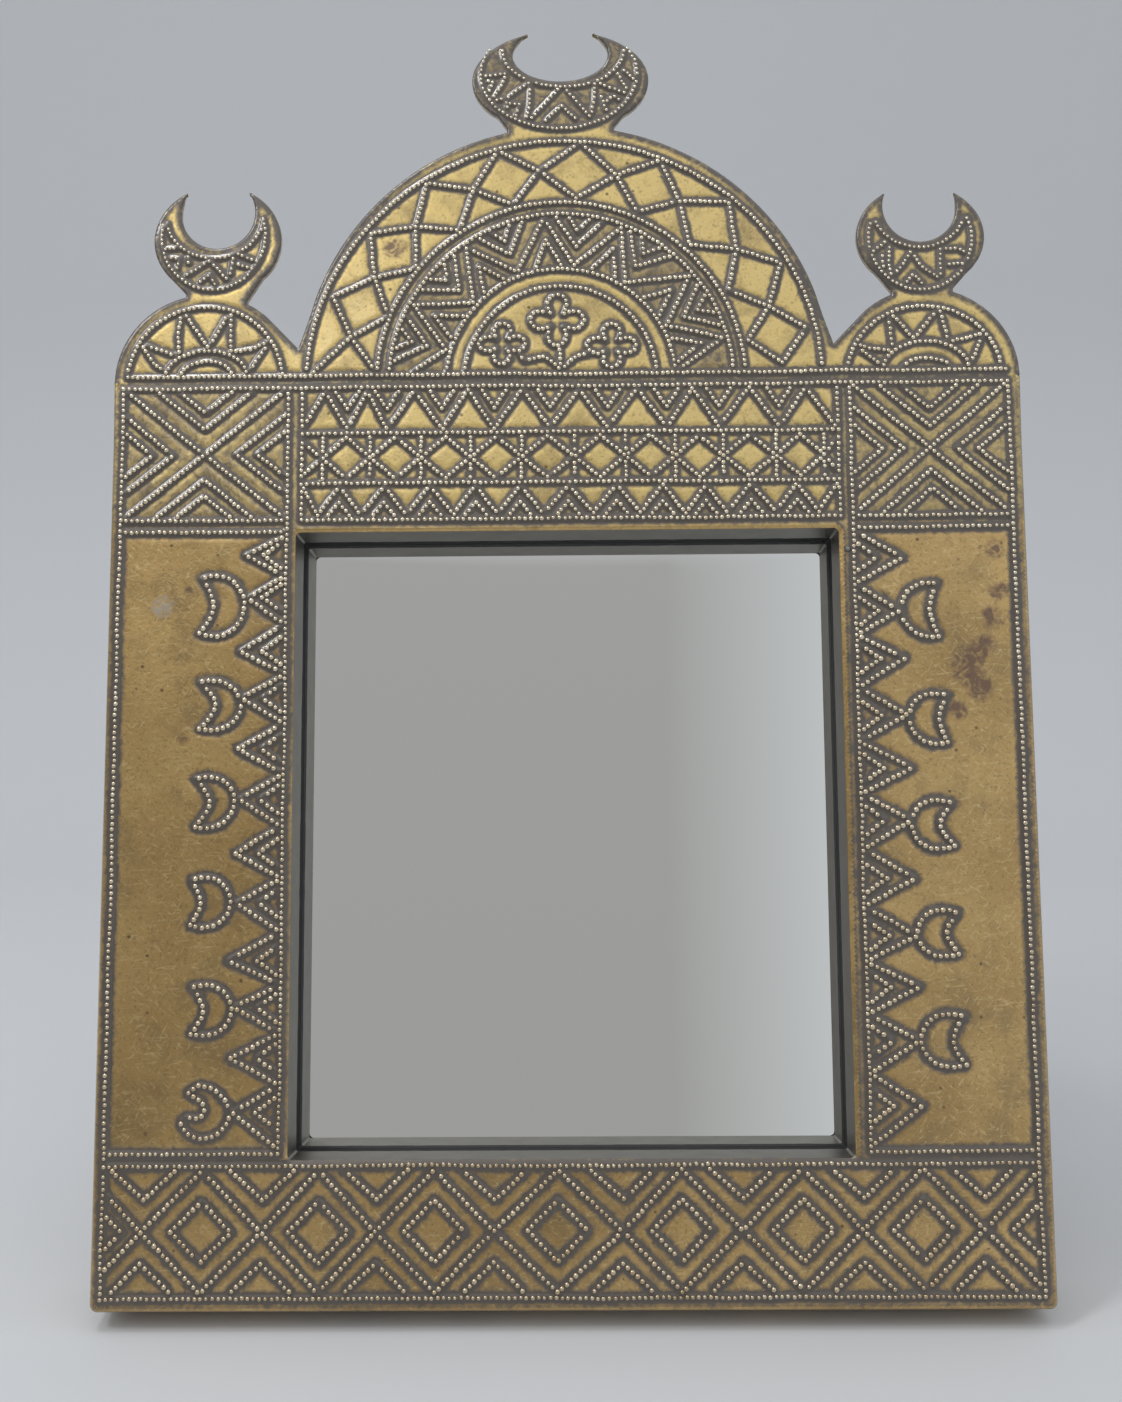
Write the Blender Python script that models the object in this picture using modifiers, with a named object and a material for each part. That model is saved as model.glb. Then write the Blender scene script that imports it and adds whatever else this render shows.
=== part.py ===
"""Embossed brass table mirror: a wooden box frame wrapped in sheet brass, with a crest of three crescents.

Units are metres and +Z is up. The panel is drawn upright, with its face on the plane y = 0, its foot on z = 0
and its depth along +Y. An empty then leans it back, and a hinged wooden strut behind it carries it.
The origin lies on the table, in the middle of the edge that the back board stands on.
"""

import math

import bmesh
import bpy
from mathutils import Matrix, Vector

# Panel
PANEL_W = 0.400
SPRING_Z = 0.3965
LEAN = math.radians(14.0)
FOOT_CLEAR = 0.0010

# Sheet brass
SHEET_T = 0.0008
CORNER_R = 0.0030
EDGE_R = 0.0025
LIP_W = 0.008

# Clearance between pieces that touch
GAP = 0.0003

# Opening, with its centre on the panel's centre line
OPENING_W = 0.2374
OPENING_Z0 = 0.0610
OPENING_Z1 = 0.3285
OPENING_R = 0.0020
OPENING_DEPTH = 0.0270
LINER_T = 0.0008

# Glass and what closes the back
REBATE = 0.006
GLASS_T = 0.0040
CARD_T = 0.0010
BACK_T = 0.0050
BACK_MARGIN = 0.003

# Crest
ARCH_R = 0.0402
CREST_GAP = 0.0021
NOTCH_Z = 0.0150
NOTCH_SPREAD = 0.0285
NOTCH_DRAW = 2.0
NECK_RISE = 0.0015
LEAVE_ANGLE = math.radians(45.0)
TIP_BLUNT = 0.0006
BOARD_T = 0.0026
BOARD_FOOT = 0.0245
BOARD_SHOULDER = 0.0025

# Crescents: half width, half height, the hollow's half width, half height and rise, half neck, overlap
LEFT_CRESCENT = (0.0284, 0.0255, 0.0166, 0.0166, 0.0128, 0.0137, 0.0002)
RIGHT_CRESCENT = (0.0284, 0.0240, 0.0164, 0.0164, 0.0140, 0.0137, 0.0002)
TOP_CRESCENT = (0.0398, 0.0240, 0.0216, 0.0129, 0.0127, 0.0240, 0.0025)
LEFT_SHIFT = 0.0045
RIGHT_SHIFT = -0.0014
TOP_SHIFT = -0.0015

# Hinge
HINGE_W = 0.060
LEAF_H = 0.026
LEAF_T = 0.0015
BARREL_R = 0.0026
PIN_R = 0.0012
PIN_HEAD_R = 0.0020
PIN_HEAD_T = 0.0010
KNUCKLES = 5
KNUCKLE_GAP = 0.0005

# Strut
STRUT_OPEN = math.radians(26.0)
STRUT_T = 0.008
STRUT_TOP_W = 0.052
STRUT_FOOT_W = 0.096
STRUT_HEAD = 0.012
STRUT_EDGE_R = 0.0015

# Fasteners: head radius, head height, shank radius, shank length
BACK_NAIL = (0.0025, 0.0010, 0.0008, 0.0160)
FIXED_SCREW = (0.0024, 0.0009, 0.0012, 0.0140)
MOVING_SCREW = (0.0024, 0.0009, 0.0012, 0.0085)
FRONT_NAIL = (0.0013, 0.0008, 0.0006, 0.0100)
NAIL_X = 0.060
SCREW_X = 0.018
SCREW_UP = 0.017
FRONT_NAIL_INSET = 0.0034
FRONT_NAIL_DROP = 0.0095

# Round shapes
ARC_STEP = math.radians(6.0)
SIDES = 16
REACH = 0.050

# Places worked out from the sizes above
FRAME_FRONT = SHEET_T + GAP
FRAME_HALF_W = PANEL_W / 2 - FRAME_FRONT
BOARD_BACK = FRAME_FRONT + BOARD_T
DOME_R = PANEL_W / 2 - 2 * ARCH_R - CREST_GAP
LINING = LINER_T + GAP
WOOD_HALF_W = OPENING_W / 2 + LINING
WOOD_Z0 = OPENING_Z0 - LINING
WOOD_Z1 = OPENING_Z1 + LINING
POCKET_HALF_W = WOOD_HALF_W + REBATE
POCKET_Z0 = WOOD_Z0 - REBATE
POCKET_Z1 = WOOD_Z1 + REBATE
STILE_MID_X = (POCKET_HALF_W + PANEL_W / 2) / 2
BOTTOM_MID_Z = POCKET_Z0 / 2
TOP_MID_Z = (POCKET_Z1 + SPRING_Z) / 2
HINGE_Z = TOP_MID_Z - SCREW_UP
POCKET_FRONT = OPENING_DEPTH
GLASS_FRONT = POCKET_FRONT + GAP
CARD_FRONT = GLASS_FRONT + GLASS_T + GAP
FRAME_BACK = CARD_FRONT + CARD_T + GAP
LIP_FRONT = FRAME_BACK + GAP
SHEET_BACK = LIP_FRONT + SHEET_T
BACK_FRONT = SHEET_BACK + GAP
BACK_REAR = BACK_FRONT + BACK_T
PIN_Y = BACK_REAR + GAP + BARREL_R
LEAF_OFFSET = BARREL_R - LEAF_T
STRUT_FRONT = BARREL_R + GAP
STOP_Y = PIN_Y - LEAF_OFFSET + GAP
FACE_LIFT = SHEET_BACK * math.sin(LEAN) + FOOT_CLEAR
BASE_Y = (BACK_FRONT + BACK_REAR) / 2
BASE_Z = (BASE_Y * math.sin(LEAN) - FACE_LIFT) / math.cos(LEAN)
FACE_Y = -BASE_Y * math.cos(LEAN) - BASE_Z * math.sin(LEAN)

# Surface colours: colour, roughness, metallic
BRASS = ((0.42, 0.28, 0.09), 0.32, 1.0)
WOOD = ((0.12, 0.07, 0.04), 0.60, 0.0)
TIN = ((0.30, 0.31, 0.32), 0.25, 1.0)
SILVER = ((0.86, 0.87, 0.87), 0.02, 1.0)
CARD = ((0.30, 0.25, 0.19), 0.90, 0.0)
STEEL = ((0.45, 0.45, 0.46), 0.35, 1.0)


def clear_scene():
    """Empty the file of objects, so that a second run starts afresh."""
    for found in list(bpy.data.objects):
        bpy.data.objects.remove(found, do_unlink=True)


def new_collection(name):
    """A collection of this name, linked to the scene."""
    made = bpy.data.collections.get(name) or bpy.data.collections.new(name)
    if made.name not in bpy.context.scene.collection.children:
        bpy.context.scene.collection.children.link(made)
    return made


def finish(name, look):
    """A Principled material with this colour, roughness and metallic value."""
    colour, roughness, metallic = look
    material = bpy.data.materials.get(name) or bpy.data.materials.new(name)
    material.use_nodes = True
    shader = material.node_tree.nodes["Principled BSDF"]
    shader.inputs["Base Color"].default_value = (*colour, 1.0)
    shader.inputs["Roughness"].default_value = roughness
    shader.inputs["Metallic"].default_value = metallic
    return material


def place(name, mesh, look, parent):
    """One named piece with its own material, carried by an empty."""
    mesh.name = name
    piece = bpy.data.objects.new(name, mesh)
    PARTS.objects.link(piece)
    piece.parent = parent
    mesh.materials.clear()
    mesh.materials.append(finish(name + "_finish", look))
    return piece


def cutter(name, mesh, parent):
    """A hidden shape that only cuts."""
    tool = bpy.data.objects.new(name, mesh)
    CUTTERS.objects.link(tool)
    tool.parent = parent
    tool.hide_render = True
    tool.display_type = "WIRE"
    return tool


def boolean(piece, tool, operation="DIFFERENCE"):
    """Cut a piece with a tool, keep what they share, or join them."""
    step = piece.modifiers.new(operation.lower(), "BOOLEAN")
    step.operation = operation
    step.solver = "EXACT"
    step.object = tool


def pivot(name, location, turn, parent=None):
    """An empty that carries pieces, turned about X."""
    empty = bpy.data.objects.new(name, None)
    PARTS.objects.link(empty)
    empty.parent = parent
    empty.location = location
    empty.rotation_euler = (turn, 0.0, 0.0)
    return empty


def mesh_of(bm, smooth=False):
    """The mesh that a bmesh holds, with its rounded faces shaded smooth."""
    bmesh.ops.recalc_face_normals(bm, faces=bm.faces)
    mesh = bpy.data.meshes.new("shape")
    bm.to_mesh(mesh)
    bm.free()
    if smooth:
        mesh.shade_smooth()
        mesh.set_sharp_from_angle(angle=math.radians(40.0))
    return mesh


def block_bmesh(low, high):
    """A box between two corners."""
    low, high = Vector(low), Vector(high)
    size = high - low
    bm = bmesh.new()
    matrix = Matrix.Translation((low + high) / 2) @ Matrix.Diagonal((*size, 1.0))
    bmesh.ops.create_cube(bm, size=1.0, matrix=matrix)
    return bm


def block(low, high):
    """A plain box as a mesh."""
    return mesh_of(block_bmesh(low, high))


def edge_runs_back(edge):
    """True for an edge that runs along the panel's depth."""
    first, second = (v.co for v in edge.verts)
    return abs(first.y - second.y) > abs(first.x - second.x) + abs(first.z - second.z)


def round_edges(bm, edges, radius, segments):
    """Round these edges."""
    bmesh.ops.bevel(bm, geom=edges, offset=radius, segments=segments, profile=0.5, affect="EDGES")


def tray(inset, front, back, top):
    """The wrapped box that the brass, the hollow inside it and the wood core all follow."""
    half = PANEL_W / 2 - inset
    bm = block_bmesh((-half, front, inset), (half, back, top))
    near = 1e-6

    def foot_corner(co):
        return abs(co.z - inset) < near and abs(abs(co.x) - half) < near

    def front_rim(edge):
        on_front = all(abs(v.co.y - front) < near for v in edge.verts)
        return on_front and not all(abs(v.co.z - top) < near for v in edge.verts)

    corners = [e for e in bm.edges if all(foot_corner(v.co) for v in e.verts) and edge_runs_back(e)]
    round_edges(bm, corners, max(CORNER_R - inset, GAP), 4)
    round_edges(bm, [e for e in bm.edges if front_rim(e)], max(EDGE_R - inset, GAP), 3)
    return mesh_of(bm, smooth=True)


def rounded_hole(half, z0, z1, radius):
    """A tall box with round corners that cuts the opening in the face."""
    bm = block_bmesh((-half, -REACH, z0), (half, SHEET_T + GAP, z1))
    round_edges(bm, [e for e in bm.edges if edge_runs_back(e)], radius, 4)
    return mesh_of(bm)


def outline_mesh(points, front, back):
    """A flat outline of (x, z) points, given its thickness between two depths."""
    curve = bpy.data.curves.new("outline", "CURVE")
    curve.dimensions = "2D"
    curve.fill_mode = "BOTH"
    curve.extrude = (back - front) / 2
    spline = curve.splines.new("POLY")
    spline.points.add(len(points) - 1)
    for target, (x, z) in zip(spline.points, points):
        target.co = (x, z, 0.0, 1.0)
    spline.use_cyclic_u = True
    drawn = bpy.data.objects.new("outline", curve)
    bpy.context.scene.collection.objects.link(drawn)
    mesh = bpy.data.meshes.new_from_object(drawn.evaluated_get(bpy.context.evaluated_depsgraph_get()))
    bpy.data.objects.remove(drawn, do_unlink=True)
    bm = bmesh.new()
    bm.from_mesh(mesh)
    bpy.data.meshes.remove(mesh)
    bmesh.ops.remove_doubles(bm, verts=bm.verts, dist=1e-6)
    stand = Matrix.Translation((0.0, (front + back) / 2, 0.0)) @ Matrix.Rotation(math.pi / 2, 4, "X")
    bmesh.ops.transform(bm, matrix=stand, verts=bm.verts)
    return mesh_of(bm, smooth=True)


def turned(profile, turn):
    """A round piece from a (radius, height) profile that runs from its top down its outer side."""
    mesh = bpy.data.meshes.new("profile")
    points = [(r, 0.0, z) for r, z in profile]
    mesh.from_pydata(points, [(i, i + 1) for i in range(len(points) - 1)], [])
    drawn = bpy.data.objects.new("profile", mesh)
    bpy.context.scene.collection.objects.link(drawn)
    screw = drawn.modifiers.new("turn", "SCREW")
    screw.steps = SIDES
    screw.render_steps = SIDES
    screw.use_merge_vertices = True
    screw.merge_threshold = 1e-6
    made = bpy.data.meshes.new_from_object(drawn.evaluated_get(bpy.context.evaluated_depsgraph_get()))
    bpy.data.objects.remove(drawn, do_unlink=True)
    bpy.data.meshes.remove(mesh)
    bm = bmesh.new()
    bm.from_mesh(made)
    bpy.data.meshes.remove(made)
    bmesh.ops.remove_doubles(bm, verts=bm.verts, dist=1e-7)
    bmesh.ops.transform(bm, matrix=Matrix.Rotation(turn, 4, "X"), verts=bm.verts)
    return mesh_of(bm, smooth=True)


def fastener(size, turn):
    """A nail or screw with a domed head. Its seat is at the origin, and its shank runs down from there."""
    head_r, head_t, shank_r, length = size
    dome = [(head_r * math.cos(a), head_t * math.sin(a)) for a in (math.pi / 2, math.pi / 4, 0.0)]
    dome[0] = (0.0, head_t)
    return turned(dome + [(shank_r, 0.0), (shank_r, -length + shank_r), (0.0, -length)], turn)


def rod(radius, length, turn):
    """A round bar along the axis that the turn gives, centred on the origin."""
    half = length / 2
    return turned([(0.0, half), (radius, half), (radius, -half), (0.0, -half)], turn)


def arc(centre, rx, ry, start, end):
    """Points along an ellipse from one angle to another."""
    steps = max(2, math.ceil(abs(end - start) / ARC_STEP))
    turns = [start + (end - start) * i / steps for i in range(steps + 1)]
    return [(centre[0] + rx * math.cos(a), centre[1] + ry * math.sin(a)) for a in turns]


def horn_tip(rx, ry, hollow_rx, hollow_ry, rise):
    """The angles, on a crescent's outer and inner ellipses, at which the two meet."""
    low, high = 0.0, math.pi / 2
    for _ in range(50):
        middle = (low + high) / 2
        x, z = rx * math.cos(middle), ry * math.sin(middle) - rise
        inside = (x / hollow_rx) ** 2 + (z / hollow_ry) ** 2 < 1.0
        low, high = (low, middle) if inside else (middle, high)
    x, z = rx * math.cos(low), ry * math.sin(low) - rise
    return low, math.atan2(z / hollow_ry, x / hollow_rx)


def crescent(shape, centre_x, base_z, inset):
    """One crescent's outline from its left foot, round both horns, to its right foot."""
    rx, ry, hollow_rx, hollow_ry, rise, neck, overlap = shape
    centre = (centre_x, base_z + ry - overlap)
    hollow = (centre_x, centre[1] + rise)
    rx, ry, hollow_rx, hollow_ry = rx - inset, ry - inset, hollow_rx + inset, hollow_ry + inset
    outer, inner = horn_tip(rx, ry, hollow_rx, hollow_ry, rise)
    outer -= TIP_BLUNT / rx
    inner -= TIP_BLUNT / hollow_rx
    left = arc(centre, rx, ry, math.pi + LEAVE_ANGLE, math.pi - outer)
    dip = arc(hollow, hollow_rx, hollow_ry, math.pi - inner, 2 * math.pi + inner)
    right = arc(centre, rx, ry, outer, -LEAVE_ANGLE)
    return left + dip + right


def carried(shape, shift, centre, radius, start, end, inset):
    """An arch from one angle to another, with a crescent standing on its crown."""
    neck = shape[5] - inset
    radius -= inset
    lean_left = math.acos((shift - neck) / radius)
    lean_right = math.acos((shift + neck) / radius)
    left = arc(centre, radius, radius, start, lean_left)
    right = arc(centre, radius, radius, lean_right, end)
    necks = [(x, z + NECK_RISE) for x, z in (left[-1], right[0])]
    crown = centre[1] + radius + inset
    return left + [necks[0]] + crescent(shape, centre[0] + shift, crown, inset) + [necks[1]] + right


def crest_outline(inset, tongue=()):
    """The crest's outline above the spring line, drawn in by an inset all round, with a tongue below it."""
    arch_x = PANEL_W / 2 - ARCH_R
    notch_x = (DOME_R + arch_x - ARCH_R) / 2
    dome_end = math.asin(NOTCH_SPREAD / DOME_R)
    arch_end = math.asin(NOTCH_SPREAD / ARCH_R)
    notch = SPRING_Z + NOTCH_Z - NOTCH_DRAW * inset
    left = carried(LEFT_CRESCENT, LEFT_SHIFT, (-arch_x, SPRING_Z), ARCH_R, math.pi, arch_end, inset)
    dome = carried(TOP_CRESCENT, TOP_SHIFT, (0.0, SPRING_Z), DOME_R, math.pi - dome_end, dome_end, inset)
    right = carried(RIGHT_CRESCENT, RIGHT_SHIFT, (arch_x, SPRING_Z), ARCH_R, math.pi - arch_end, 0.0, inset)
    return left + [(-notch_x, notch)] + dome + [(notch_x, notch)] + right + list(tongue)


def make_frame(lean):
    """Two full-width rails and two stiles between them, all cut from one rounded core."""
    core = cutter("core_form", tray(FRAME_FRONT, FRAME_FRONT, FRAME_BACK, SPRING_Z - GAP), lean)
    pocket_low = (-POCKET_HALF_W, POCKET_FRONT, POCKET_Z0)
    pocket = cutter("glass_pocket", block(pocket_low, (POCKET_HALF_W, REACH, POCKET_Z1)), lean)
    seat_low = (-PANEL_W, -REACH, SPRING_Z - BOARD_FOOT - GAP)
    seat = cutter("crest_seat", block(seat_low, (PANEL_W, BOARD_BACK + GAP, SPRING_Z + REACH)), lean)
    wide, inner = PANEL_W, WOOD_HALF_W
    members = {
        "bottom_rail": ((-wide, -REACH, -REACH), (wide, REACH, WOOD_Z0)),
        "top_rail": ((-wide, -REACH, WOOD_Z1), (wide, REACH, SPRING_Z + REACH)),
        "left_stile": ((-wide, -REACH, WOOD_Z0 + GAP), (-inner, REACH, WOOD_Z1 - GAP)),
        "right_stile": ((inner, -REACH, WOOD_Z0 + GAP), (wide, REACH, WOOD_Z1 - GAP)),
    }
    made = {}
    for name, (low, high) in members.items():
        made[name] = place(name, block(low, high), WOOD, lean)
        boolean(made[name], core, "INTERSECT")
        boolean(made[name], pocket)
    boolean(made["top_rail"], seat)
    return made


def make_face(lean):
    """The face sheet: one skin with its sides and foot wrapped round the frame and lipped over its back."""
    face = place("face_sheet", tray(0.0, 0.0, SHEET_BACK, SPRING_Z - GAP), BRASS, lean)
    hollow = cutter("face_hollow", tray(SHEET_T, SHEET_T, LIP_FRONT, SPRING_Z + REACH), lean)
    window_low = (-PANEL_W / 2 + LIP_W, LIP_FRONT - GAP, LIP_W)
    window = cutter("face_window", block(window_low, (PANEL_W / 2 - LIP_W, REACH, SPRING_Z + REACH)), lean)
    hole = cutter("face_hole", rounded_hole(OPENING_W / 2, OPENING_Z0, OPENING_Z1, OPENING_R), lean)
    for tool in (hollow, window, hole):
        boolean(face, tool)
    return face


def make_crest(lean):
    """The crest board, let into the top rail, and the brass that is hemmed round its edge."""
    sheet = place("crest_sheet", outline_mesh(crest_outline(0.0), 0.0, BOARD_BACK), BRASS, lean)
    open_half, open_low = PANEL_W / 2 - SHEET_T, SPRING_Z - REACH
    hollow = crest_outline(SHEET_T, [(open_half, open_low), (-open_half, open_low)])
    boolean(sheet, cutter("crest_hollow", outline_mesh(hollow, SHEET_T, REACH), lean))
    half, low = FRAME_HALF_W - BOARD_SHOULDER, SPRING_Z - BOARD_FOOT
    tongue = [(half, SPRING_Z), (half, low), (-half, low), (-half, SPRING_Z)]
    board = crest_outline(FRAME_FRONT, tongue)
    place("crest_board", outline_mesh(board, FRAME_FRONT, BOARD_BACK), WOOD, lean)


def make_liner(lean):
    """Four strips of tinned sheet that line the opening between the face and the glass."""
    half = OPENING_W / 2
    front, back = FRAME_FRONT, POCKET_FRONT
    outer = half + LINER_T
    strips = {
        "liner_bottom": ((-outer, front, OPENING_Z0 - LINER_T), (outer, back, OPENING_Z0)),
        "liner_top": ((-outer, front, OPENING_Z1), (outer, back, OPENING_Z1 + LINER_T)),
        "liner_left": ((-outer, front, OPENING_Z0 + GAP), (-half, back, OPENING_Z1 - GAP)),
        "liner_right": ((half, front, OPENING_Z0 + GAP), (outer, back, OPENING_Z1 - GAP)),
    }
    for name, (low, high) in strips.items():
        place(name, block(low, high), TIN, lean)


def make_glazing(lean, floor):
    """The mirror glass, the card behind it and the back board, whose foot is planed level."""
    half = POCKET_HALF_W - GAP
    low, high = POCKET_Z0 + GAP, POCKET_Z1 - GAP
    place("mirror_glass", block((-half, GLASS_FRONT, low), (half, GLASS_FRONT + GLASS_T, high)), SILVER, lean)
    place("backing_card", block((-half, CARD_FRONT, low), (half, CARD_FRONT + CARD_T, high)), CARD, lean)
    reach = PANEL_W / 2 - BACK_MARGIN
    board_low = (-reach, BACK_FRONT, -FACE_LIFT)
    board = place("back_board", block(board_low, (reach, BACK_REAR, SPRING_Z - BACK_MARGIN)), WOOD, lean)
    boolean(board, floor)
    return board


def drill(name, size, at, turn, parent, pieces):
    """A clearance hole along a fastener's shank through the pieces it enters."""
    shank_r, length = size[2], size[3]
    tool = cutter(name + "_hole", rod(shank_r + GAP, 2 * (length + GAP), turn), parent)
    tool.location = at
    for piece in pieces:
        boolean(piece, tool)


def make_back_nails(lean, board, members):
    """Nails round the back board's rim, through the board and into the middle of each frame member."""
    side, half_way = STILE_MID_X, (BOTTOM_MID_Z + TOP_MID_Z) / 2
    places = [(x, BOTTOM_MID_Z, "bottom_rail") for x in (-side, -NAIL_X, NAIL_X, side)]
    places += [(x, TOP_MID_Z, "top_rail") for x in (-side, -NAIL_X, NAIL_X, side)]
    places += [(-side, half_way, "left_stile"), (side, half_way, "right_stile")]
    turn = -math.pi / 2
    for number, (x, z, member) in enumerate(places, 1):
        name = f"back_nail_{number}"
        at = (x, BACK_REAR + GAP, z)
        nail = place(name, fastener(BACK_NAIL, turn), STEEL, lean)
        nail.location = at
        drill(name, BACK_NAIL, at, turn, lean, (board, members[member]))


def make_front_nail(lean, face, stile):
    """One small pin at the opening's upper right corner, where the sheet was fixed again."""
    turn = math.pi / 2
    at = (OPENING_W / 2 + FRONT_NAIL_INSET, -GAP, OPENING_Z1 - FRONT_NAIL_DROP)
    nail = place("front_nail", fastener(FRONT_NAIL, turn), STEEL, lean)
    nail.location = at
    drill("front_nail", FRONT_NAIL, at, turn, lean, (face, stile))


def leaf_mesh(up):
    """A hinge leaf: a plate rolled round the pin at one end. It stands above the pin or hangs below it."""
    meets = math.acos(-LEAF_OFFSET / BARREL_R)
    roll = arc((0.0, 0.0), BARREL_R, BARREL_R, math.pi, 2 * math.pi + meets)
    points = [(-BARREL_R, LEAF_H)] + roll + [(-LEAF_OFFSET, LEAF_H)]
    mesh = outline_mesh([(up * y, up * z) for y, z in points], -HINGE_W / 2, HINGE_W / 2)
    mesh.transform(Matrix.Rotation(math.pi / 2, 4, "Z"))
    return mesh


def make_leaf(name, up, parent):
    """A leaf, notched where the other leaf's knuckles go and bored for the pin."""
    leaf = place(name, leaf_mesh(up), STEEL, parent)
    pitch = HINGE_W / KNUCKLES
    half = (pitch + KNUCKLE_GAP) / 2
    out = 2 * BARREL_R
    low, high = sorted((-up * out, up * (BARREL_R + KNUCKLE_GAP)))
    for number in range(KNUCKLES):
        if (number % 2 == 0) == (up > 0):
            continue
        x = -HINGE_W / 2 + pitch * (number + 0.5)
        notch = block((x - half, -out, low), (x + half, out, high))
        boolean(leaf, cutter(f"{name}_notch_{number}", notch, parent))
    boolean(leaf, cutter(f"{name}_bore", rod_x(PIN_R + GAP, HINGE_W + REACH), parent))
    return leaf


def rod_x(radius, length):
    """A round bar along X, centred on the origin."""
    mesh = rod(radius, length, 0.0)
    mesh.transform(Matrix.Rotation(math.pi / 2, 4, "Y"))
    return mesh


def make_pin(parent):
    """The hinge pin, with a head at each end."""
    half = HINGE_W / 2 + GAP
    end = half + PIN_HEAD_T
    profile = [(0.0, end), (PIN_HEAD_R, end), (PIN_HEAD_R, half), (PIN_R, half)]
    profile += [(r, -z) for r, z in reversed(profile)]
    mesh = turned(profile, 0.0)
    mesh.transform(Matrix.Rotation(math.pi / 2, 4, "Y"))
    place("hinge_pin", mesh, STEEL, parent)


def make_strut(swing, lean, floor):
    """The strut: a tapered board with a level foot. Its head is planed to stop against the fixed leaf."""
    length = HINGE_Z / math.cos(STRUT_OPEN - LEAN) + STRUT_T
    top, foot = STRUT_TOP_W / 2, STRUT_FOOT_W / 2
    outline = [(-top, STRUT_HEAD), (top, STRUT_HEAD), (foot, -length), (-foot, -length)]
    strut = place("strut", outline_mesh(outline, STRUT_FRONT, STRUT_FRONT + STRUT_T), WOOD, swing)
    soften = strut.modifiers.new("soften", "BEVEL")
    soften.width = STRUT_EDGE_R
    soften.segments = 2
    boolean(strut, floor)
    stop_low = (-STRUT_TOP_W, STOP_Y - REACH, HINGE_Z)
    stop = cutter("strut_stop", block(stop_low, (STRUT_TOP_W, STOP_Y, HINGE_Z + REACH)), lean)
    boolean(strut, stop)
    return strut


def make_hinge(lean, floor, board, top_rail):
    """The strut, both leaves, the pin they turn on and the screws that hold the leaves."""
    fixed = pivot("hinge_axis", (0.0, PIN_Y, HINGE_Z), 0.0, lean)
    swing = pivot("strut_swing", (0.0, PIN_Y, HINGE_Z), STRUT_OPEN, lean)
    strut = make_strut(swing, lean, floor)
    top_leaf = make_leaf("fixed_leaf", 1, fixed)
    low_leaf = make_leaf("moving_leaf", -1, swing)
    make_pin(fixed)
    seat = LEAF_OFFSET - GAP
    for number, x in enumerate((-SCREW_X, SCREW_X), 1):
        upper = place(f"fixed_leaf_screw_{number}", fastener(FIXED_SCREW, -math.pi / 2), STEEL, fixed)
        upper.location = (x, -seat, SCREW_UP)
        lower = place(f"moving_leaf_screw_{number}", fastener(MOVING_SCREW, math.pi / 2), STEEL, swing)
        lower.location = (x, seat, -SCREW_UP)
        drill(upper.name, FIXED_SCREW, upper.location, -math.pi / 2, fixed, (top_leaf, board, top_rail))
        drill(lower.name, MOVING_SCREW, lower.location, math.pi / 2, swing, (low_leaf, strut))


def main():
    lean = pivot("lean", (0.0, FACE_Y, FACE_LIFT), -LEAN)
    floor = cutter("floor", block((-PANEL_W, -PANEL_W, -REACH), (PANEL_W, PANEL_W, 0.0)), None)
    members = make_frame(lean)
    face = make_face(lean)
    make_crest(lean)
    make_liner(lean)
    board = make_glazing(lean, floor)
    make_back_nails(lean, board, members)
    make_front_nail(lean, face, members["right_stile"])
    make_hinge(lean, floor, board, members["top_rail"])


clear_scene()
PARTS = new_collection("table_mirror")
CUTTERS = new_collection("cutters")
main()
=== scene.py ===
# %% [markdown]
# # An embossed brass table mirror
# The mirror is a wooden box frame wrapped in thin brass. The brass was beaten from behind: rows of small
# beads mark out triangles, lozenges and chevrons. The fields between the rows have been rubbed and stay
# golden, and a dark patina has settled along the rows, where no cloth reaches. The solids already hold the
# frame, the glass, the hinge and the strut. This lesson dresses them: it lays the embossed skin over the
# plain sheets, sets the beads one by one, and gives every surface its finish.

# %% Load the solids
import math
import random

import bmesh
import bpy
import numpy as np
from mathutils import Matrix, Vector, kdtree, noise
from mathutils.geometry import delaunay_2d_cdt


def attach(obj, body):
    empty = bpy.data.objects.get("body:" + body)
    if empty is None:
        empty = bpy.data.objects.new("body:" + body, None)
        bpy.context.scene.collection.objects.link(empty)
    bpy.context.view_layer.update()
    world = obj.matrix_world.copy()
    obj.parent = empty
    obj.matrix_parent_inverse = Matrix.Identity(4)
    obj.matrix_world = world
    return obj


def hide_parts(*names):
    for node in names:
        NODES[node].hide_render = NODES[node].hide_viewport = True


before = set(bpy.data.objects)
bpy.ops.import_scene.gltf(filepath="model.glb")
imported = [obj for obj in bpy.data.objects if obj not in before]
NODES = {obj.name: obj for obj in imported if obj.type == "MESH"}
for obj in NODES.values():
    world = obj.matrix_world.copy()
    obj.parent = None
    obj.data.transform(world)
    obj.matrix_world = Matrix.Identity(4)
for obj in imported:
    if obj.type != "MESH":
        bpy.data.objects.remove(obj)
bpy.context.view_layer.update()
scene = bpy.context.scene
scene.view_settings.view_transform = "Standard"

# %% [markdown]
# ## The panel's own millimetres
# The panel leans back, but its pattern is flat. It is far easier to draw the pattern in millimetres on the
# panel (right and up from the middle of its foot) and to turn the finished mesh once. The turn could be
# typed in as an angle. Here it is read from the solids instead: the glass gives the way the panel faces,
# and the face sheet gives its foot.

# %% Find the panel
ACROSS = Vector((1.0, 0.0, 0.0))
glass_faces = [p for p in NODES["mirror_glass"].data.polygons if p.normal.y < 0]
facing = max(glass_faces, key=lambda p: p.area).normal.copy()
upward = facing.cross(ACROSS).normalized()
sheet_points = [v.co for v in NODES["face_sheet"].data.vertices]
foot_line = min(p.dot(upward) for p in sheet_points)
face_plane = max(p.dot(facing) for p in sheet_points)

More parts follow.
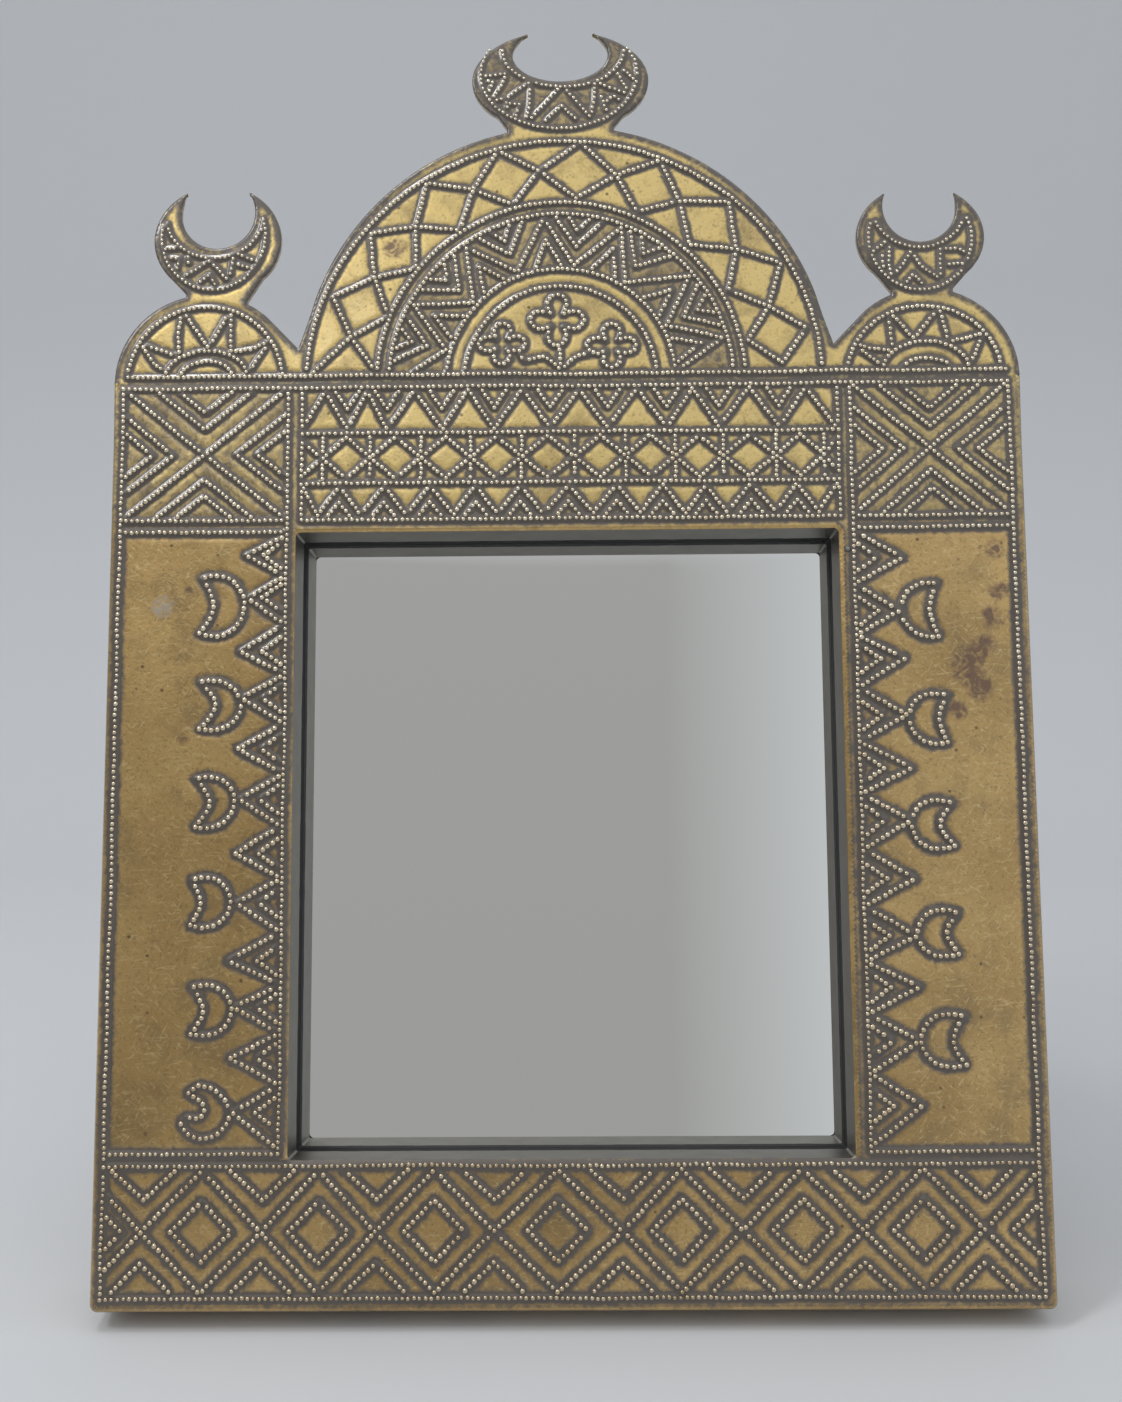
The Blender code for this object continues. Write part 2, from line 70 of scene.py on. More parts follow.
PANEL = Matrix.Translation(upward * foot_line + facing * face_plane)
PANEL @= Matrix((ACROSS, -facing, upward)).transposed().to_4x4() @ Matrix.Scale(0.001, 4)


def on_panel(node):
    """A solid's vertices in the panel's millimetres: right, back and up."""
    turn = PANEL.inverted()
    return np.array([turn @ v.co for v in NODES[node].data.vertices])


face_high = on_panel("face_sheet").max(0)
crest_low, crest_high = on_panel("crest_sheet").min(0), on_panel("crest_sheet").max(0)
HALF_W = face_high[0]
SEAM_V = (face_high[2] + crest_low[2]) / 2
OPEN_HALF = -on_panel("liner_left").max(0)[0]
OPEN_LOW, OPEN_HIGH = on_panel("liner_bottom").max(0)[2], on_panel("liner_top").min(0)[2]
FACE_DEPTH, CREST_DEPTH = face_high[1], crest_high[1]
print("lean:", round(math.degrees(math.atan2(facing.z, -facing.y)), 2), "seam at", round(SEAM_V, 2), "mm")

# %% [markdown]
# ## Helpers for finishes
# Colours are picked from the object as screen colours, so one function turns a hex code into the linear
# values that Blender works in. Materials are built from nodes, and one small function adds a node with its
# settings and links. An input can be named or numbered. Two kinds of node come up again and again. A Map
# Range takes its value at 0 and stretches what lies between inputs 1 and 2 over inputs 3 and 4, which are
# 0 and 1 where nothing is said. A colour Mix takes its share at 0 and blends from the colour at 6 to the
# colour at 7.

# %% Colour and node helpers
def linear(code):
    """A linear colour from an sRGB hex code."""
    parts = [int(code[i : i + 2], 16) / 255 for i in (1, 3, 5)]
    return (*[p / 12.92 if p <= 0.04045 else ((p + 0.055) / 1.055) ** 2.4 for p in parts], 1.0)


def wire(tree, node, settings=(), links=()):
    """Set a node's properties and inputs, and join inputs to outputs, or to the first output of a node."""
    for key, value in dict(settings).items():
        if isinstance(key, int) or key in node.inputs:
            node.inputs[key].default_value = value
        else:
            setattr(node, key, value)
    for key, source in dict(links).items():
        if isinstance(source, bpy.types.Node):
            source = next(output for output in source.outputs if output.enabled)
        tree.links.new(source, node.inputs[key])
    return node


def add(tree, kind, settings=(), links=()):
    """One new node with its settings and links."""
    return wire(tree, tree.nodes.new(kind), settings, links)


def new_material(name):
    """An empty node material, its Principled shader and its place in the object's own metres."""
    material = bpy.data.materials.new(name)
    material.use_nodes = True
    tree = material.node_tree
    where = add(tree, "ShaderNodeTexCoord").outputs["Object"]
    return material, tree, tree.nodes["Principled BSDF"], where


def per_metre(size_mm):
    """The noise scale whose features are about this many millimetres across."""
    return 1000.0 / size_mm


print("gold as linear:", [round(c, 3) for c in linear("#C8A45C")])

# %% [markdown]
# ## Drawing the bead rows
# Every row of beads is a line of (right, up) points. Zigzags, chevrons and arcs are worked out from a few
# sizes, so that a band with ten teeth is one call. The maker worked by eye: a slow sway moves all the rows
# a little, and rows that meet still meet, because the sway depends only on the place.

# %% Zigzags, chevrons and arcs
SWAY, SWAY_SIZE, SWAY_SLICE = 0.55, 38.0, 7.0
ARC_STEP, ARC_LEAST = 4, 6


def swayed(point):
    """A place on the panel, moved as an unsteady hand would."""
    u, v = point
    at = Vector((u / SWAY_SIZE, v / SWAY_SIZE, 0.0))
    return u + SWAY * noise.noise(at), v + SWAY * noise.noise(at + Vector((0.0, 0.0, SWAY_SLICE)))


def zigzag(starts, low, high):
    """A row that climbs from low to high and back between the given places."""
    points = [(starts[0], low)]
    for left, right in zip(starts, starts[1:]):
        points += [((left + right) / 2, high), (right, low)]
    return points


def chevron(mid, half, foot, tip):
    """A row of two arms that meet at the tip."""
    return [(mid - half, foot), (mid, tip), (mid + half, foot)]


def arc(centre, radius_u, radius_v, start, end):
    """A row along part of an ellipse, with its ends in degrees."""
    steps = max(ARC_LEAST, int(abs(end - start) / ARC_STEP))
    turns = np.radians(np.linspace(start, end, steps + 1))
    return [(centre[0] + radius_u * math.cos(a), centre[1] + radius_v * math.sin(a)) for a in turns]


print("a zigzag of four teeth has", len(zigzag((0, 10, 20, 30, 40), 0, 10)), "points")

# %% [markdown]
# ## The face's borders
# A row of beads runs round the face a few millimetres inside its edge. Inside it, pairs of rows with a
# narrow dark strip between them split the face into a band along the foot, two tall side fields, two
# square fields at the top and a band between these. Only the rows are drawn. The strip needs nothing of
# its own, because both the relief and the patina follow from the distance to the nearest row.

# %% Border rows
LEFT, RIGHT = -HALF_W + 4.5, HALF_W - 5.5
INNER_LEFT, INNER_RIGHT = -OPEN_HALF - 3.7, OPEN_HALF + 6.3
BAND_LEFT, BAND_RIGHT = -OPEN_HALF + 2.5, OPEN_HALF + 0.8
FOOT_V, FOOT_TOP_V = 5.5, OPEN_LOW - 2.2
SIDE_LOW_V, SIDE_HIGH_V = OPEN_LOW + 2.8, OPEN_HIGH
SQUARE_LOW_V, TOP_V = OPEN_HIGH + 5.2, SEAM_V - 3.0
BAND_V = (SQUARE_LOW_V, OPEN_HIGH + 21.5, OPEN_HIGH + 44.0, TOP_V)


def border_rows():
    """The straight rows that divide the face."""
    rows = [[(LEFT, v), (RIGHT, v)] for v in (FOOT_V, FOOT_TOP_V, TOP_V)]
    rows += [[(u, FOOT_V), (u, TOP_V)] for u in (LEFT, RIGHT)]
    rows += [[(u, SIDE_LOW_V), (u, TOP_V)] for u in (INNER_LEFT, INNER_RIGHT)]
    for v in (SIDE_LOW_V, SIDE_HIGH_V, SQUARE_LOW_V):
        rows += [[(LEFT, v), (INNER_LEFT, v)], [(INNER_RIGHT, v), (RIGHT, v)]]
    rows += [[(BAND_LEFT, v), (BAND_RIGHT, v)] for v in BAND_V[:3]]
    rows += [[(u, SQUARE_LOW_V), (u, TOP_V)] for u in (BAND_LEFT, BAND_RIGHT)]
    return rows


edge_rows = border_rows()
print("border rows:", len(edge_rows))

# %% [markdown]
# ## Square fields
# Each square is crossed by two diagonals, and each of the four quarters holds two chevrons that point at
# the middle. Their arms run along the diagonals, so one loop draws them on opposite sides, first left and
# right, then below and above.

# %% Square fields
LEFT_CHEVRONS, RIGHT_CHEVRONS = (0.38, 0.63), (0.33, 0.60)
ROW_CLEAR = 1.8


def square_field(u0, u1, v0, v1, chevrons):
    """Two diagonals and, in each quarter, chevrons that share their slope."""
    mid_u, mid_v = (u0 + u1) / 2, (v0 + v1) / 2
    half_u, half_v = (u1 - u0) / 2, (v1 - v0) / 2
    rows = [[(u0, v0), (u1, v1)], [(u0, v1), (u1, v0)]]
    for share in chevrons:
        for side in (-1, 1):
            out, spread = 1 - ROW_CLEAR / half_u, 1 - share - ROW_CLEAR / half_u
            ends = [(mid_u + side * half_u * out, mid_v + way * half_v * spread) for way in (-1, 1)]
            rows.append([ends[0], (mid_u + side * half_u * share, mid_v), ends[1]])
            out, spread = 1 - ROW_CLEAR / half_v, 1 - share - ROW_CLEAR / half_v
            ends = [(mid_u + way * half_u * spread, mid_v + side * half_v * out) for way in (-1, 1)]
            rows.append([ends[0], (mid_u, mid_v + side * half_v * share), ends[1]])
    return rows


fine_rows = square_field(LEFT, INNER_LEFT, SQUARE_LOW_V, TOP_V, LEFT_CHEVRONS)
fine_rows += square_field(INNER_RIGHT, RIGHT, SQUARE_LOW_V, TOP_V, RIGHT_CHEVRONS)
print("rows in the squares:", len(fine_rows))

# %% [markdown]
# ## The band over the glass
# It has three tiers: triangles that stand up, lozenges, and triangles that hang down. A zigzag makes the
# triangles and two zigzags in step make the lozenges. Small chevrons fill the gaps. The places are the
# object's own, because its maker didn't space them evenly.

# %% Band over the glass
# Feet of the standing triangles, crossings between the lozenges, and points of the hanging triangles
STANDING = (BAND_LEFT, -96.3, -78.8, -54.4, -31.5, -6.9, 18.5, 44.4, 67.5, 93.8, BAND_RIGHT - 1.5)
CROSSINGS = (-106.9, -86.3, -63.8, -41.9, -19.4, 3.8, 26.3, 47.9, 69.0, 91.9, 113.1)
HANGING = (-109.0, -90.0, -70.0, -49.4, -30.0, -10.0, 11.9, 32.5, 51.9, 70.0, 91.3, 110.0)
# How far rows stop short of the rows that they would touch
ZIGZAG_CLEAR, LOZENGE_CLEAR, HANGING_CLEAR, CHEVRON_CLEAR = 1.6, 1.8, 2.0, 2.2
# Half width and height of the small chevrons, the start of the short ticks and the spread at the band's ends
STANDING_CHEVRON, HANGING_CHEVRON = (5.2, 11.0), (4.6, 7.5)
TICK_FROM, END_SPREAD = 3.0, 6.5


def upper_band():
    """The three tiers of the band between the squares."""
    low, middle, high, top = BAND_V
    waist = (middle + high) / 2
    half, tip = STANDING_CHEVRON
    rows = [zigzag(STANDING, high + ZIGZAG_CLEAR, top - ZIGZAG_CLEAR)]
    rows += [chevron(u, half, top - CHEVRON_CLEAR, high + tip) for u in STANDING[1:-1]]
    rows += [zigzag(CROSSINGS, waist, v) for v in (high - LOZENGE_CLEAR, middle + LOZENGE_CLEAR)]
    for u in CROSSINGS:
        rows.append([(u, waist + TICK_FROM), (u, high - CHEVRON_CLEAR)])
        rows.append([(u, waist - TICK_FROM), (u, middle + CHEVRON_CLEAR)])
    for end, crossing in ((BAND_LEFT + 1.5, CROSSINGS[0]), (BAND_RIGHT - 1.5, CROSSINGS[-1])):
        rows.append([(end, waist + END_SPREAD), (crossing, waist), (end, waist - END_SPREAD)])
    half, tip = HANGING_CHEVRON
    foot, crown = low + HANGING_CLEAR, middle - HANGING_CLEAR
    rows.append(zigzag(HANGING, foot, middle - ZIGZAG_CLEAR))
    rows.append([(BAND_LEFT + 1.0, crown), (HANGING[0], foot)])
    rows.append([(HANGING[-1], foot), (BAND_RIGHT - 1.0, crown)])
    return rows + [chevron((a + b) / 2, half, foot, low + tip) for a, b in zip(HANGING, HANGING[1:])]


fine_rows += upper_band()
print("rows in the squares and the upper band:", len(fine_rows))

# %% [markdown]
# ## The side fields
# A column of teeth points away from the glass on each side. Every second tooth touches a small crescent.
# No two are alike: the maker punched each by eye, so their places and sizes are listed one by one. A
# crescent is one closed row, with an outer curve from horn to horn and a hollow one back. The lowest on
# the left ends in a curl.

# %% Side fields
# Teeth from the top down: how far each reaches from its column, and the height of its tip
LEFT_TEETH = (
    (17.6, 318.3), (16.2, 299.5), (19.5, 276.0), (19.0, 255.5), (20.0, 233.5), (18.6, 211.5),
    (20.0, 188.5), (19.6, 167.5), (22.5, 143.5), (19.6, 124.0), (21.0, 103.0), (19.5, 80.5),
)
RIGHT_TEETH = (
    (21.0, 315.2), (19.0, 291.3), (20.5, 270.5), (20.5, 246.0), (22.0, 223.3), (21.0, 200.9),
    (21.5, 176.1), (21.8, 152.2), (22.4, 131.1), (21.5, 108.9), (22.0, 82.2),
)
# Crescents: place of the bulge, half width and half height, and the depth of the hollow and of the horns
LEFT_MOONS = (
    ((-140.0, 296.0), 12.5, 13.2, 13.5, 19.3),
    ((-141.5, 252.5), 11.5, 10.7, 10.5, 17.3),
    ((-143.0, 210.5), 11.5, 11.0, 10.5, 16.8),
    ((-144.5, 168.2), 10.5, 10.7, 12.5, 17.0),
    ((-143.0, 123.0), 11.0, 10.5, 11.5, 16.8),
)
RIGHT_MOONS = (
    ((144.5, 291.7), 12.3, 12.0, 12.0, 15.5),
    ((146.4, 244.5), 11.0, 10.9, 12.9, 16.5),
    ((146.1, 199.3), 10.5, 10.4, 11.8, 17.8),
    ((147.0, 153.5), 10.5, 9.7, 12.5, 17.3),
    ((147.2, 108.9), 11.5, 10.9, 13.2, 18.2),
)
CURL = [
    (-160.5, 89.0), (-156.0, 92.0), (-151.0, 91.0), (-147.0, 88.0), (-144.0, 84.0), (-143.0, 80.0),
    (-144.0, 76.0), (-147.0, 72.5), (-151.0, 70.5), (-155.0, 70.0), (-159.0, 71.5), (-162.0, 74.0),
    (-163.5, 77.0), (-161.0, 79.0), (-157.5, 78.5), (-155.0, 79.0), (-153.5, 82.0), (-155.0, 85.5),
    (-158.0, 87.0), (-160.5, 89.0),
]
HORN_BLUNT, HOLLOW_BEND = 0.5, 1.6
# Teeth: where an arm starts, how far it stops short of the next, and reach and half height of the inner one
TOOTH_FROM, TOOTH_CLEAR, INNER_TOOTH = 2.0, 1.0, (10.0, 5.8)


def moon(bulge, half_w, half_h, hollow, horn, way):
    """A crescent that opens away from the glass. Way is 1 to the right and -1 to the left."""
    last = math.acos(1 - horn / half_w)
    turns = np.linspace(-last, last, 21)
    blunt = [1.0 if abs(a) < math.pi / 2 else HORN_BLUNT for a in turns]
    outer = [(half_w * (1 - math.cos(a)), half_h * math.copysign(abs(math.sin(a)) ** b, a))
             for a, b in zip(turns, blunt)]
    tip = outer[-1][1]
    inner = [(hollow + (horn - hollow) * abs(t) ** HOLLOW_BEND, tip * t) for t in np.linspace(0.9, -1.0, 10)]
    return [(bulge[0] + way * s, bulge[1] + t) for s, t in outer + inner]


def teeth(base_u, way, tips):
    """A column of double chevrons that meet half-way between their tips."""
    heights = [v for _, v in tips]
    edges = [(a + b) / 2 for a, b in zip(heights, heights[1:])]
    edges = [SIDE_HIGH_V - 1.5] + edges + [SIDE_LOW_V + 2.5]
    near, (inner, half) = base_u + way * TOOTH_FROM, INNER_TOOTH
    rows = []
    for (reach, mid), high, low in zip(tips, edges, edges[1:]):
        rows.append([(near, low + TOOTH_CLEAR), (base_u + way * reach, mid), (near, high - TOOTH_CLEAR)])
        rows.append([(near, mid - half), (base_u + way * inner, mid), (near, mid + half)])
    return rows


face_rows = teeth(INNER_LEFT, -1, LEFT_TEETH) + teeth(INNER_RIGHT, 1, RIGHT_TEETH)
face_rows += [moon(*m, -1) for m in LEFT_MOONS] + [moon(*m, 1) for m in RIGHT_MOONS] + [CURL]
print("rows with the side fields:", len(face_rows))

# %% [markdown]
# ## The band along the foot
# Seven large lozenges stand point to point between two rows, each with a smaller one inside. Chevrons fill
# the gaps above and below every crossing, and the two ends hold what is left of the next lozenge. Two
# zigzags in step make the large lozenges, as in the band over the glass.

# %% Foot band
FOOT_CROSSINGS = (-179.0, -129.0, -81.5, -32.3, 21.0, 71.0, 121.0, 171.0)
FOOT_INNER, FOOT_LOW_CLEAR, FOOT_HIGH_CLEAR = 12.5, 2.0, 1.8
# Corners of the chevrons over and under a crossing, from the crossing and from the upper or the lower row
OVER, UNDER = ((-13.0, 0.0), (0.8, -12.0), (13.5, 0.0)), ((-12.0, 0.8), (0.0, 12.0), (12.0, 0.8))
# The small chevron at each end: its tip and its spread, as shares of the large one
END_TIP, END_SHARE = 0.55, 0.42


def foot_band():
    """Lozenges, the smaller ones inside them, and the chevrons between."""
    low, high = FOOT_V + FOOT_LOW_CLEAR, FOOT_TOP_V - FOOT_HIGH_CLEAR
    waist = (FOOT_V + FOOT_TOP_V) / 2
    rows = [zigzag(FOOT_CROSSINGS, waist, high), zigzag(FOOT_CROSSINGS, waist, low)]
    for left, right in zip(FOOT_CROSSINGS, FOOT_CROSSINGS[1:]):
        mid = (left + right) / 2
        corners = ((-1, 0), (0, 1), (1, 0), (0, -1), (-1, 0))
        rows.append([(mid + FOOT_INNER * i, waist + FOOT_INNER * j) for i, j in corners])
    for u in FOOT_CROSSINGS:
        rows += [[(u + x, high + y) for x, y in OVER], [(u + x, low + y) for x, y in UNDER]]
    for edge, crossing in ((LEFT + 2.0, FOOT_CROSSINGS[0]), (RIGHT - 2.0, FOOT_CROSSINGS[-1])):
        run = abs(edge - crossing)
        rows.append([(edge, waist + run), (crossing, waist), (edge, waist - run)])
        tip = crossing + (edge - crossing) * END_TIP
        rows.append([(edge, waist + run * END_SHARE), (tip, waist), (edge, waist - run * END_SHARE)])
    return rows


face_rows += foot_band()
print("rows on the face:", len(face_rows) + len(fine_rows))

# %% [markdown]
# ## The dome
# Rings of beads divide the dome into a band of lozenges, a band of nested chevrons and a half disc with
# three flowers. A ring is an arc. The zigzags are the same as on the face, only wound round the dome's
# middle, so their corners are given as an angle and a radius. A flower is one outline whose radius swells
# four times on the way round.

# %% Dome rows
DOME_MID, EDGE_MID = -2.0, -0.6
DOME_EDGE, DOME_RINGS = (114.0, 110.3), (81.3, 76.0, 50.5, 42.5)
DOME_CROSSINGS = (168.1, 150.6, 133.1, 114.5, 96.2, 75.8, 57.3, 37.4, 19.7, 3.9)
# The chevrons' zigzag starts on the inner ring and touches the two rings by turns
CHEVRON_TURNS = (165.0, 152.0, 137.7, 124.7, 111.0, 95.5, 83.4, 68.5, 57.0, 39.2, 26.8, 14.0, 4.5)
BASE_V = SEAM_V + 2.4
DOME_WAIST, EDGE_CLEAR, RING_CLEAR = 96.8, 0.5, 2.0
# Half width in degrees and height of the chevrons under and over the zigzag, and at the outer ring
UNDER_CHEVRON, OVER_CHEVRON, RING_CHEVRON = (5.9, 11.5), (8.0, 8.8), (3.4, 6.0)
PETAL_WAIST, PETAL_ROUND = 0.34, 0.5
# Flowers: the middle, half width and half height
FLOWERS = (((-28.0, 412.5), 10.2, 9.4), ((-3.6, 423.2), 12.0, 11.6), ((20.6, 411.6), 10.8, 10.0))
STEMS = (
    ((-20.5, 408.0), (-18.2, 404.6), (-9.0, 406.9), (-3.2, 401.6)),
    ((12.5, 408.8), (4.4, 406.5), (-0.4, 402.0)),
    ((-2.6, 412.0), (-2.2, 401.5)),
)


def wound(points, mid):
    """A row given as (degrees, radius) points, wound round a middle on the seam."""
    turns = [(math.radians(a), r) for a, r in points]
    return [(mid + r * math.cos(a), SEAM_V + r * math.sin(a)) for a, r in turns]


def dome_lozenges():
    """The band of lozenges under the dome's edge, with what is left of one at its start."""
    high, low = DOME_EDGE[1] - EDGE_CLEAR, DOME_RINGS[0] + RING_CLEAR
    rows = [zigzag(DOME_CROSSINGS, DOME_WAIST, side) for side in (high, low)]
    rows.append([(177.8, DOME_WAIST + 14.0), (DOME_CROSSINGS[0], DOME_WAIST), (177.0, DOME_WAIST - 13.0)])
    return [wound(row, EDGE_MID) for row in rows]


def dome_chevrons():
    """One broad zigzag, with two chevrons in each outer gap and one in each inner gap, from the left."""
    high, low = DOME_RINGS[1] - RING_CLEAR, DOME_RINGS[2] + RING_CLEAR
    main = [(a, high if number % 2 else low) for number, a in enumerate(CHEVRON_TURNS)]
    rows = [[(176.5, low + 13.0)] + main]
    for number, a in enumerate(CHEVRON_TURNS[:-1]):
        if number % 2:
            rows.append(chevron(a, -UNDER_CHEVRON[0], low, low + UNDER_CHEVRON[1]))
        else:
            rows.append(chevron(a, -OVER_CHEVRON[0], high, low + OVER_CHEVRON[1]))
            rows.append(chevron(a, -RING_CHEVRON[0], high, high - RING_CHEVRON[1]))
    return [wound(row, DOME_MID) for row in rows]


def flower(at, half_u, half_v):
    """Four round petals in one outline."""
    turns = np.radians(np.linspace(0.0, 360.0, 73))
    reach = [max(PETAL_WAIST, abs(math.cos(2 * a)) ** PETAL_ROUND) for a in turns]
    u, v = at
    return [(u + half_u * r * math.cos(a), v + half_v * r * math.sin(a)) for a, r in zip(turns, reach)]


crest_rows = [[(LEFT + 1.5, BASE_V), (RIGHT - 0.5, BASE_V)]]
crest_rows += [arc((EDGE_MID, SEAM_V), *DOME_EDGE, 3.0, 177.0)]
crest_rows += [arc((DOME_MID, SEAM_V), r, r, 4.0, 176.0) for r in DOME_RINGS]
crest_rows += dome_lozenges() + dome_chevrons() + [flower(*f) for f in FLOWERS] + list(STEMS)
print("rows on the dome:", len(crest_rows))

# %% [markdown]
# ## The small arches and the crescents
# Each has a row inside its edge, and an arch has two low arcs at its foot as well. These are parts of
# ellipses. The short strokes between them follow no rule, so they are listed one by one, as they were read
# from the object.

# %% Arch and crescent rows
# Arches: the middle, then half width and height of the rim row and of the two low arcs
ARCHES = (
    (-159.6, (34.7, 34.6), (18.2, 12.0), (11.5, 7.2)),
    (158.3, (33.9, 31.9), (19.0, 13.2), (10.8, 5.4)),
)
ARCH_STROKES = (
    ((-187.5, 412.5), (-182.0, 404.5), (-177.5, 401.5)), ((-186.0, 413.5), (-180.0, 411.3), (-172.5, 408.6)),
    ((-171.0, 426.0), (-171.8, 418.0), (-171.5, 410.5)), ((-168.5, 427.0), (-164.5, 421.0), (-158.8, 412.8)),
    ((-157.5, 413.5), (-151.0, 425.5)), ((-148.6, 427.0), (-148.6, 419.0), (-148.0, 410.5)),
    ((-146.0, 410.2), (-138.0, 411.4), (-131.5, 414.5)), ((-133.0, 411.5), (-139.5, 401.5)),
    ((130.0, 410.0), (135.0, 408.6), (142.5, 408.0)), ((131.0, 407.5), (139.0, 401.2)),
    ((143.0, 423.0), (143.5, 417.0), (144.0, 410.5)), ((145.0, 423.5), (149.0, 419.0), (153.5, 413.5)),
    ((154.0, 413.0), (158.0, 418.0), (164.5, 426.0)), ((166.0, 425.5), (167.5, 419.0), (169.0, 411.5)),
    ((171.0, 411.8), (177.0, 413.3), (183.0, 415.0)), ((184.0, 413.5), (182.0, 409.0), (179.0, 401.5)),
)  # fmt: skip
# Crescents: middle, half sizes and ends in degrees of the outer row, then of the row round the hollow
CRESCENTS = (
    ((-157.0, 463.0), (23.2, 23.9), (166, 380), (-156.6, 472.0), (21.5, 18.5), (188, 356)),
    ((158.2, 459.5), (22.9, 23.8), (164, 382), (158.0, 474.0), (21.0, 18.8), (202, 342)),
    ((-2.1, 538.5), (35.4, 25.8), (152, 388), (0.0, 550.0), (27.6, 17.7), (180, 358)),
)
CRESCENT_STROKES = (
    ((-178.5, 458.0), (-173.0, 458.4)), ((-176.0, 453.8), (-172.0, 453.5), (-173.0, 449.0)),
    ((-168.3, 454.0), (-168.0, 451.5)), ((-159.0, 452.0), (-168.5, 446.0)),
    ((-158.0, 452.0), (-154.0, 447.5), (-151.0, 444.0)),
    ((-162.5, 443.0), (-158.5, 446.0), (-156.0, 441.5)), ((-148.0, 453.0), (-149.0, 446.5)),
    ((-146.0, 455.3), (-137.5, 451.8)), ((-145.5, 450.3), (-139.5, 448.6)),
    ((137.3, 453.6), (142.5, 457.5)), ((144.5, 455.0), (144.0, 447.5), (145.0, 443.0)),
    ((141.2, 451.0), (141.5, 446.5)), ((153.7, 453.0), (150.5, 447.5), (146.0, 442.5)),
    ((155.5, 451.0), (159.0, 446.0), (165.5, 441.5)), ((152.0, 439.5), (155.0, 442.8), (158.5, 438.8)),
    ((167.0, 454.0), (167.0, 443.0)), ((169.5, 454.3), (175.5, 454.3), (177.5, 452.8)),
    ((171.0, 447.2), (176.5, 447.5)), ((-35.0, 538.0), (-26.5, 539.0)),
    ((-26.3, 537.0), (-28.0, 533.0), (-31.5, 528.0)), ((-34.0, 535.5), (-32.0, 535.0), (-33.5, 531.0)),
    ((-15.8, 534.0), (-20.0, 531.5), (-25.0, 527.5)), ((-30.0, 526.5), (-26.5, 527.0), (-25.5, 523.0)),
    ((-24.0, 524.6), (-19.5, 524.2), (-21.5, 519.0)), ((-15.0, 533.0), (-15.4, 524.0), (-16.5, 518.0)),
    ((-2.5, 531.0), (-8.0, 524.5), (-14.5, 517.8)), ((-8.0, 516.5), (-1.0, 523.3), (5.0, 517.5)),
    ((1.5, 530.5), (6.0, 524.8), (11.5, 518.5)), ((14.0, 534.0), (13.8, 526.0), (12.5, 520.5)),
    ((16.5, 534.0), (21.0, 531.8), (27.5, 529.6)), ((24.5, 538.5), (28.5, 531.5)),
    ((27.5, 540.0), (31.5, 536.0)), ((17.0, 527.5), (19.0, 521.5)),
    ((19.5, 525.5), (22.5, 528.0), (25.0, 526.3)),
)  # fmt: skip
ARCH_ENDS, ARCH_SHIFT = (6, 10, 14), 0.6


def arch_rows(mid, *halves):
    """The rim and the two low arcs of one small arch."""
    foot = (mid + ARCH_SHIFT, BASE_V)
    centres = ((mid, SEAM_V), foot, foot)
    return [arc(at, *half, end, 180 - end) for at, half, end in zip(centres, halves, ARCH_ENDS)]


for arch in ARCHES:
    crest_rows += arch_rows(*arch)
crest_rows += ARCH_STROKES
small_rows = list(CRESCENT_STROKES)
for outer, outer_half, outer_ends, bowl, bowl_half, bowl_ends in CRESCENTS:
    small_rows += [arc(outer, *outer_half, *outer_ends), arc(bowl, *bowl_half, *bowl_ends)]
print("rows on the crest:", len(crest_rows) + len(small_rows))

# %% [markdown]
# ## Setting out the beads
# The rows become beads, set as close as a punch can go by hand without splitting the sheet. The foot and
# the sides have the largest, the squares and the dome smaller ones and the crescents the smallest. A
# seeded random number makes each a little uneven. The rows are also sampled finely, because the skin has
# to know how far each of its points lies from the nearest row.

# %% Beads along the rows
# Distance between beads and their radius
LARGE, BORDER, MIDDLE = (2.62, 1.22), (2.45, 0.99), (2.32, 1.04)
SMALL, TINY = (2.26, 1.01), (2.15, 0.77)
BEAD_UNEVEN, BEAD_SHIFT, BEAD_CLEAR = 0.13, 0.2, 0.78
SWAY_STEP, ROW_SAMPLE, CELL = 4.0, 0.5, 3
hand = random.Random(7)


def spaced(points, step):
    """Points along a row, evenly spaced at about this step, with both ends."""
    points = np.array(points, float)
    runs = np.hypot(*np.diff(points, axis=0).T)
    along = np.concatenate(([0.0], np.cumsum(runs)))
    count = max(1, round(along[-1] / step))
    places = np.linspace(0.0, along[-1], count + 1)
    return np.column_stack([np.interp(places, along, points[:, axis]) for axis in (0, 1)])


def hand_drawn(row):
    """A row as it was really punched, with its sway."""
    return [swayed(p) for a, b in zip(row, row[1:]) for p in spaced([a, b], SWAY_STEP)]


def set_beads(*groups):
    """Beads as (right, up, radius) for groups of rows. One that would fall on another is left out."""
    beads, taken = [], {}
    around = [(i, j) for i in (-1, 0, 1) for j in (-1, 0, 1)]
    for rows, (pitch, radius) in groups:
        for place in [p for row in rows for p in spaced(hand_drawn(row), pitch)]:
            u, v = place + (hand.uniform(-BEAD_SHIFT, BEAD_SHIFT), hand.uniform(-BEAD_SHIFT, BEAD_SHIFT))
            cell = (int(u // CELL), int(v // CELL))
            near = [b for i, j in around for b in taken.get((cell[0] + i, cell[1] + j), [])]
            if all(math.hypot(u - x, v - y) > BEAD_CLEAR * pitch for x, y in near):
                taken.setdefault(cell, []).append((u, v))
                beads.append((u, v, radius * hand.uniform(1 - BEAD_UNEVEN, 1 + BEAD_UNEVEN)))
    return beads


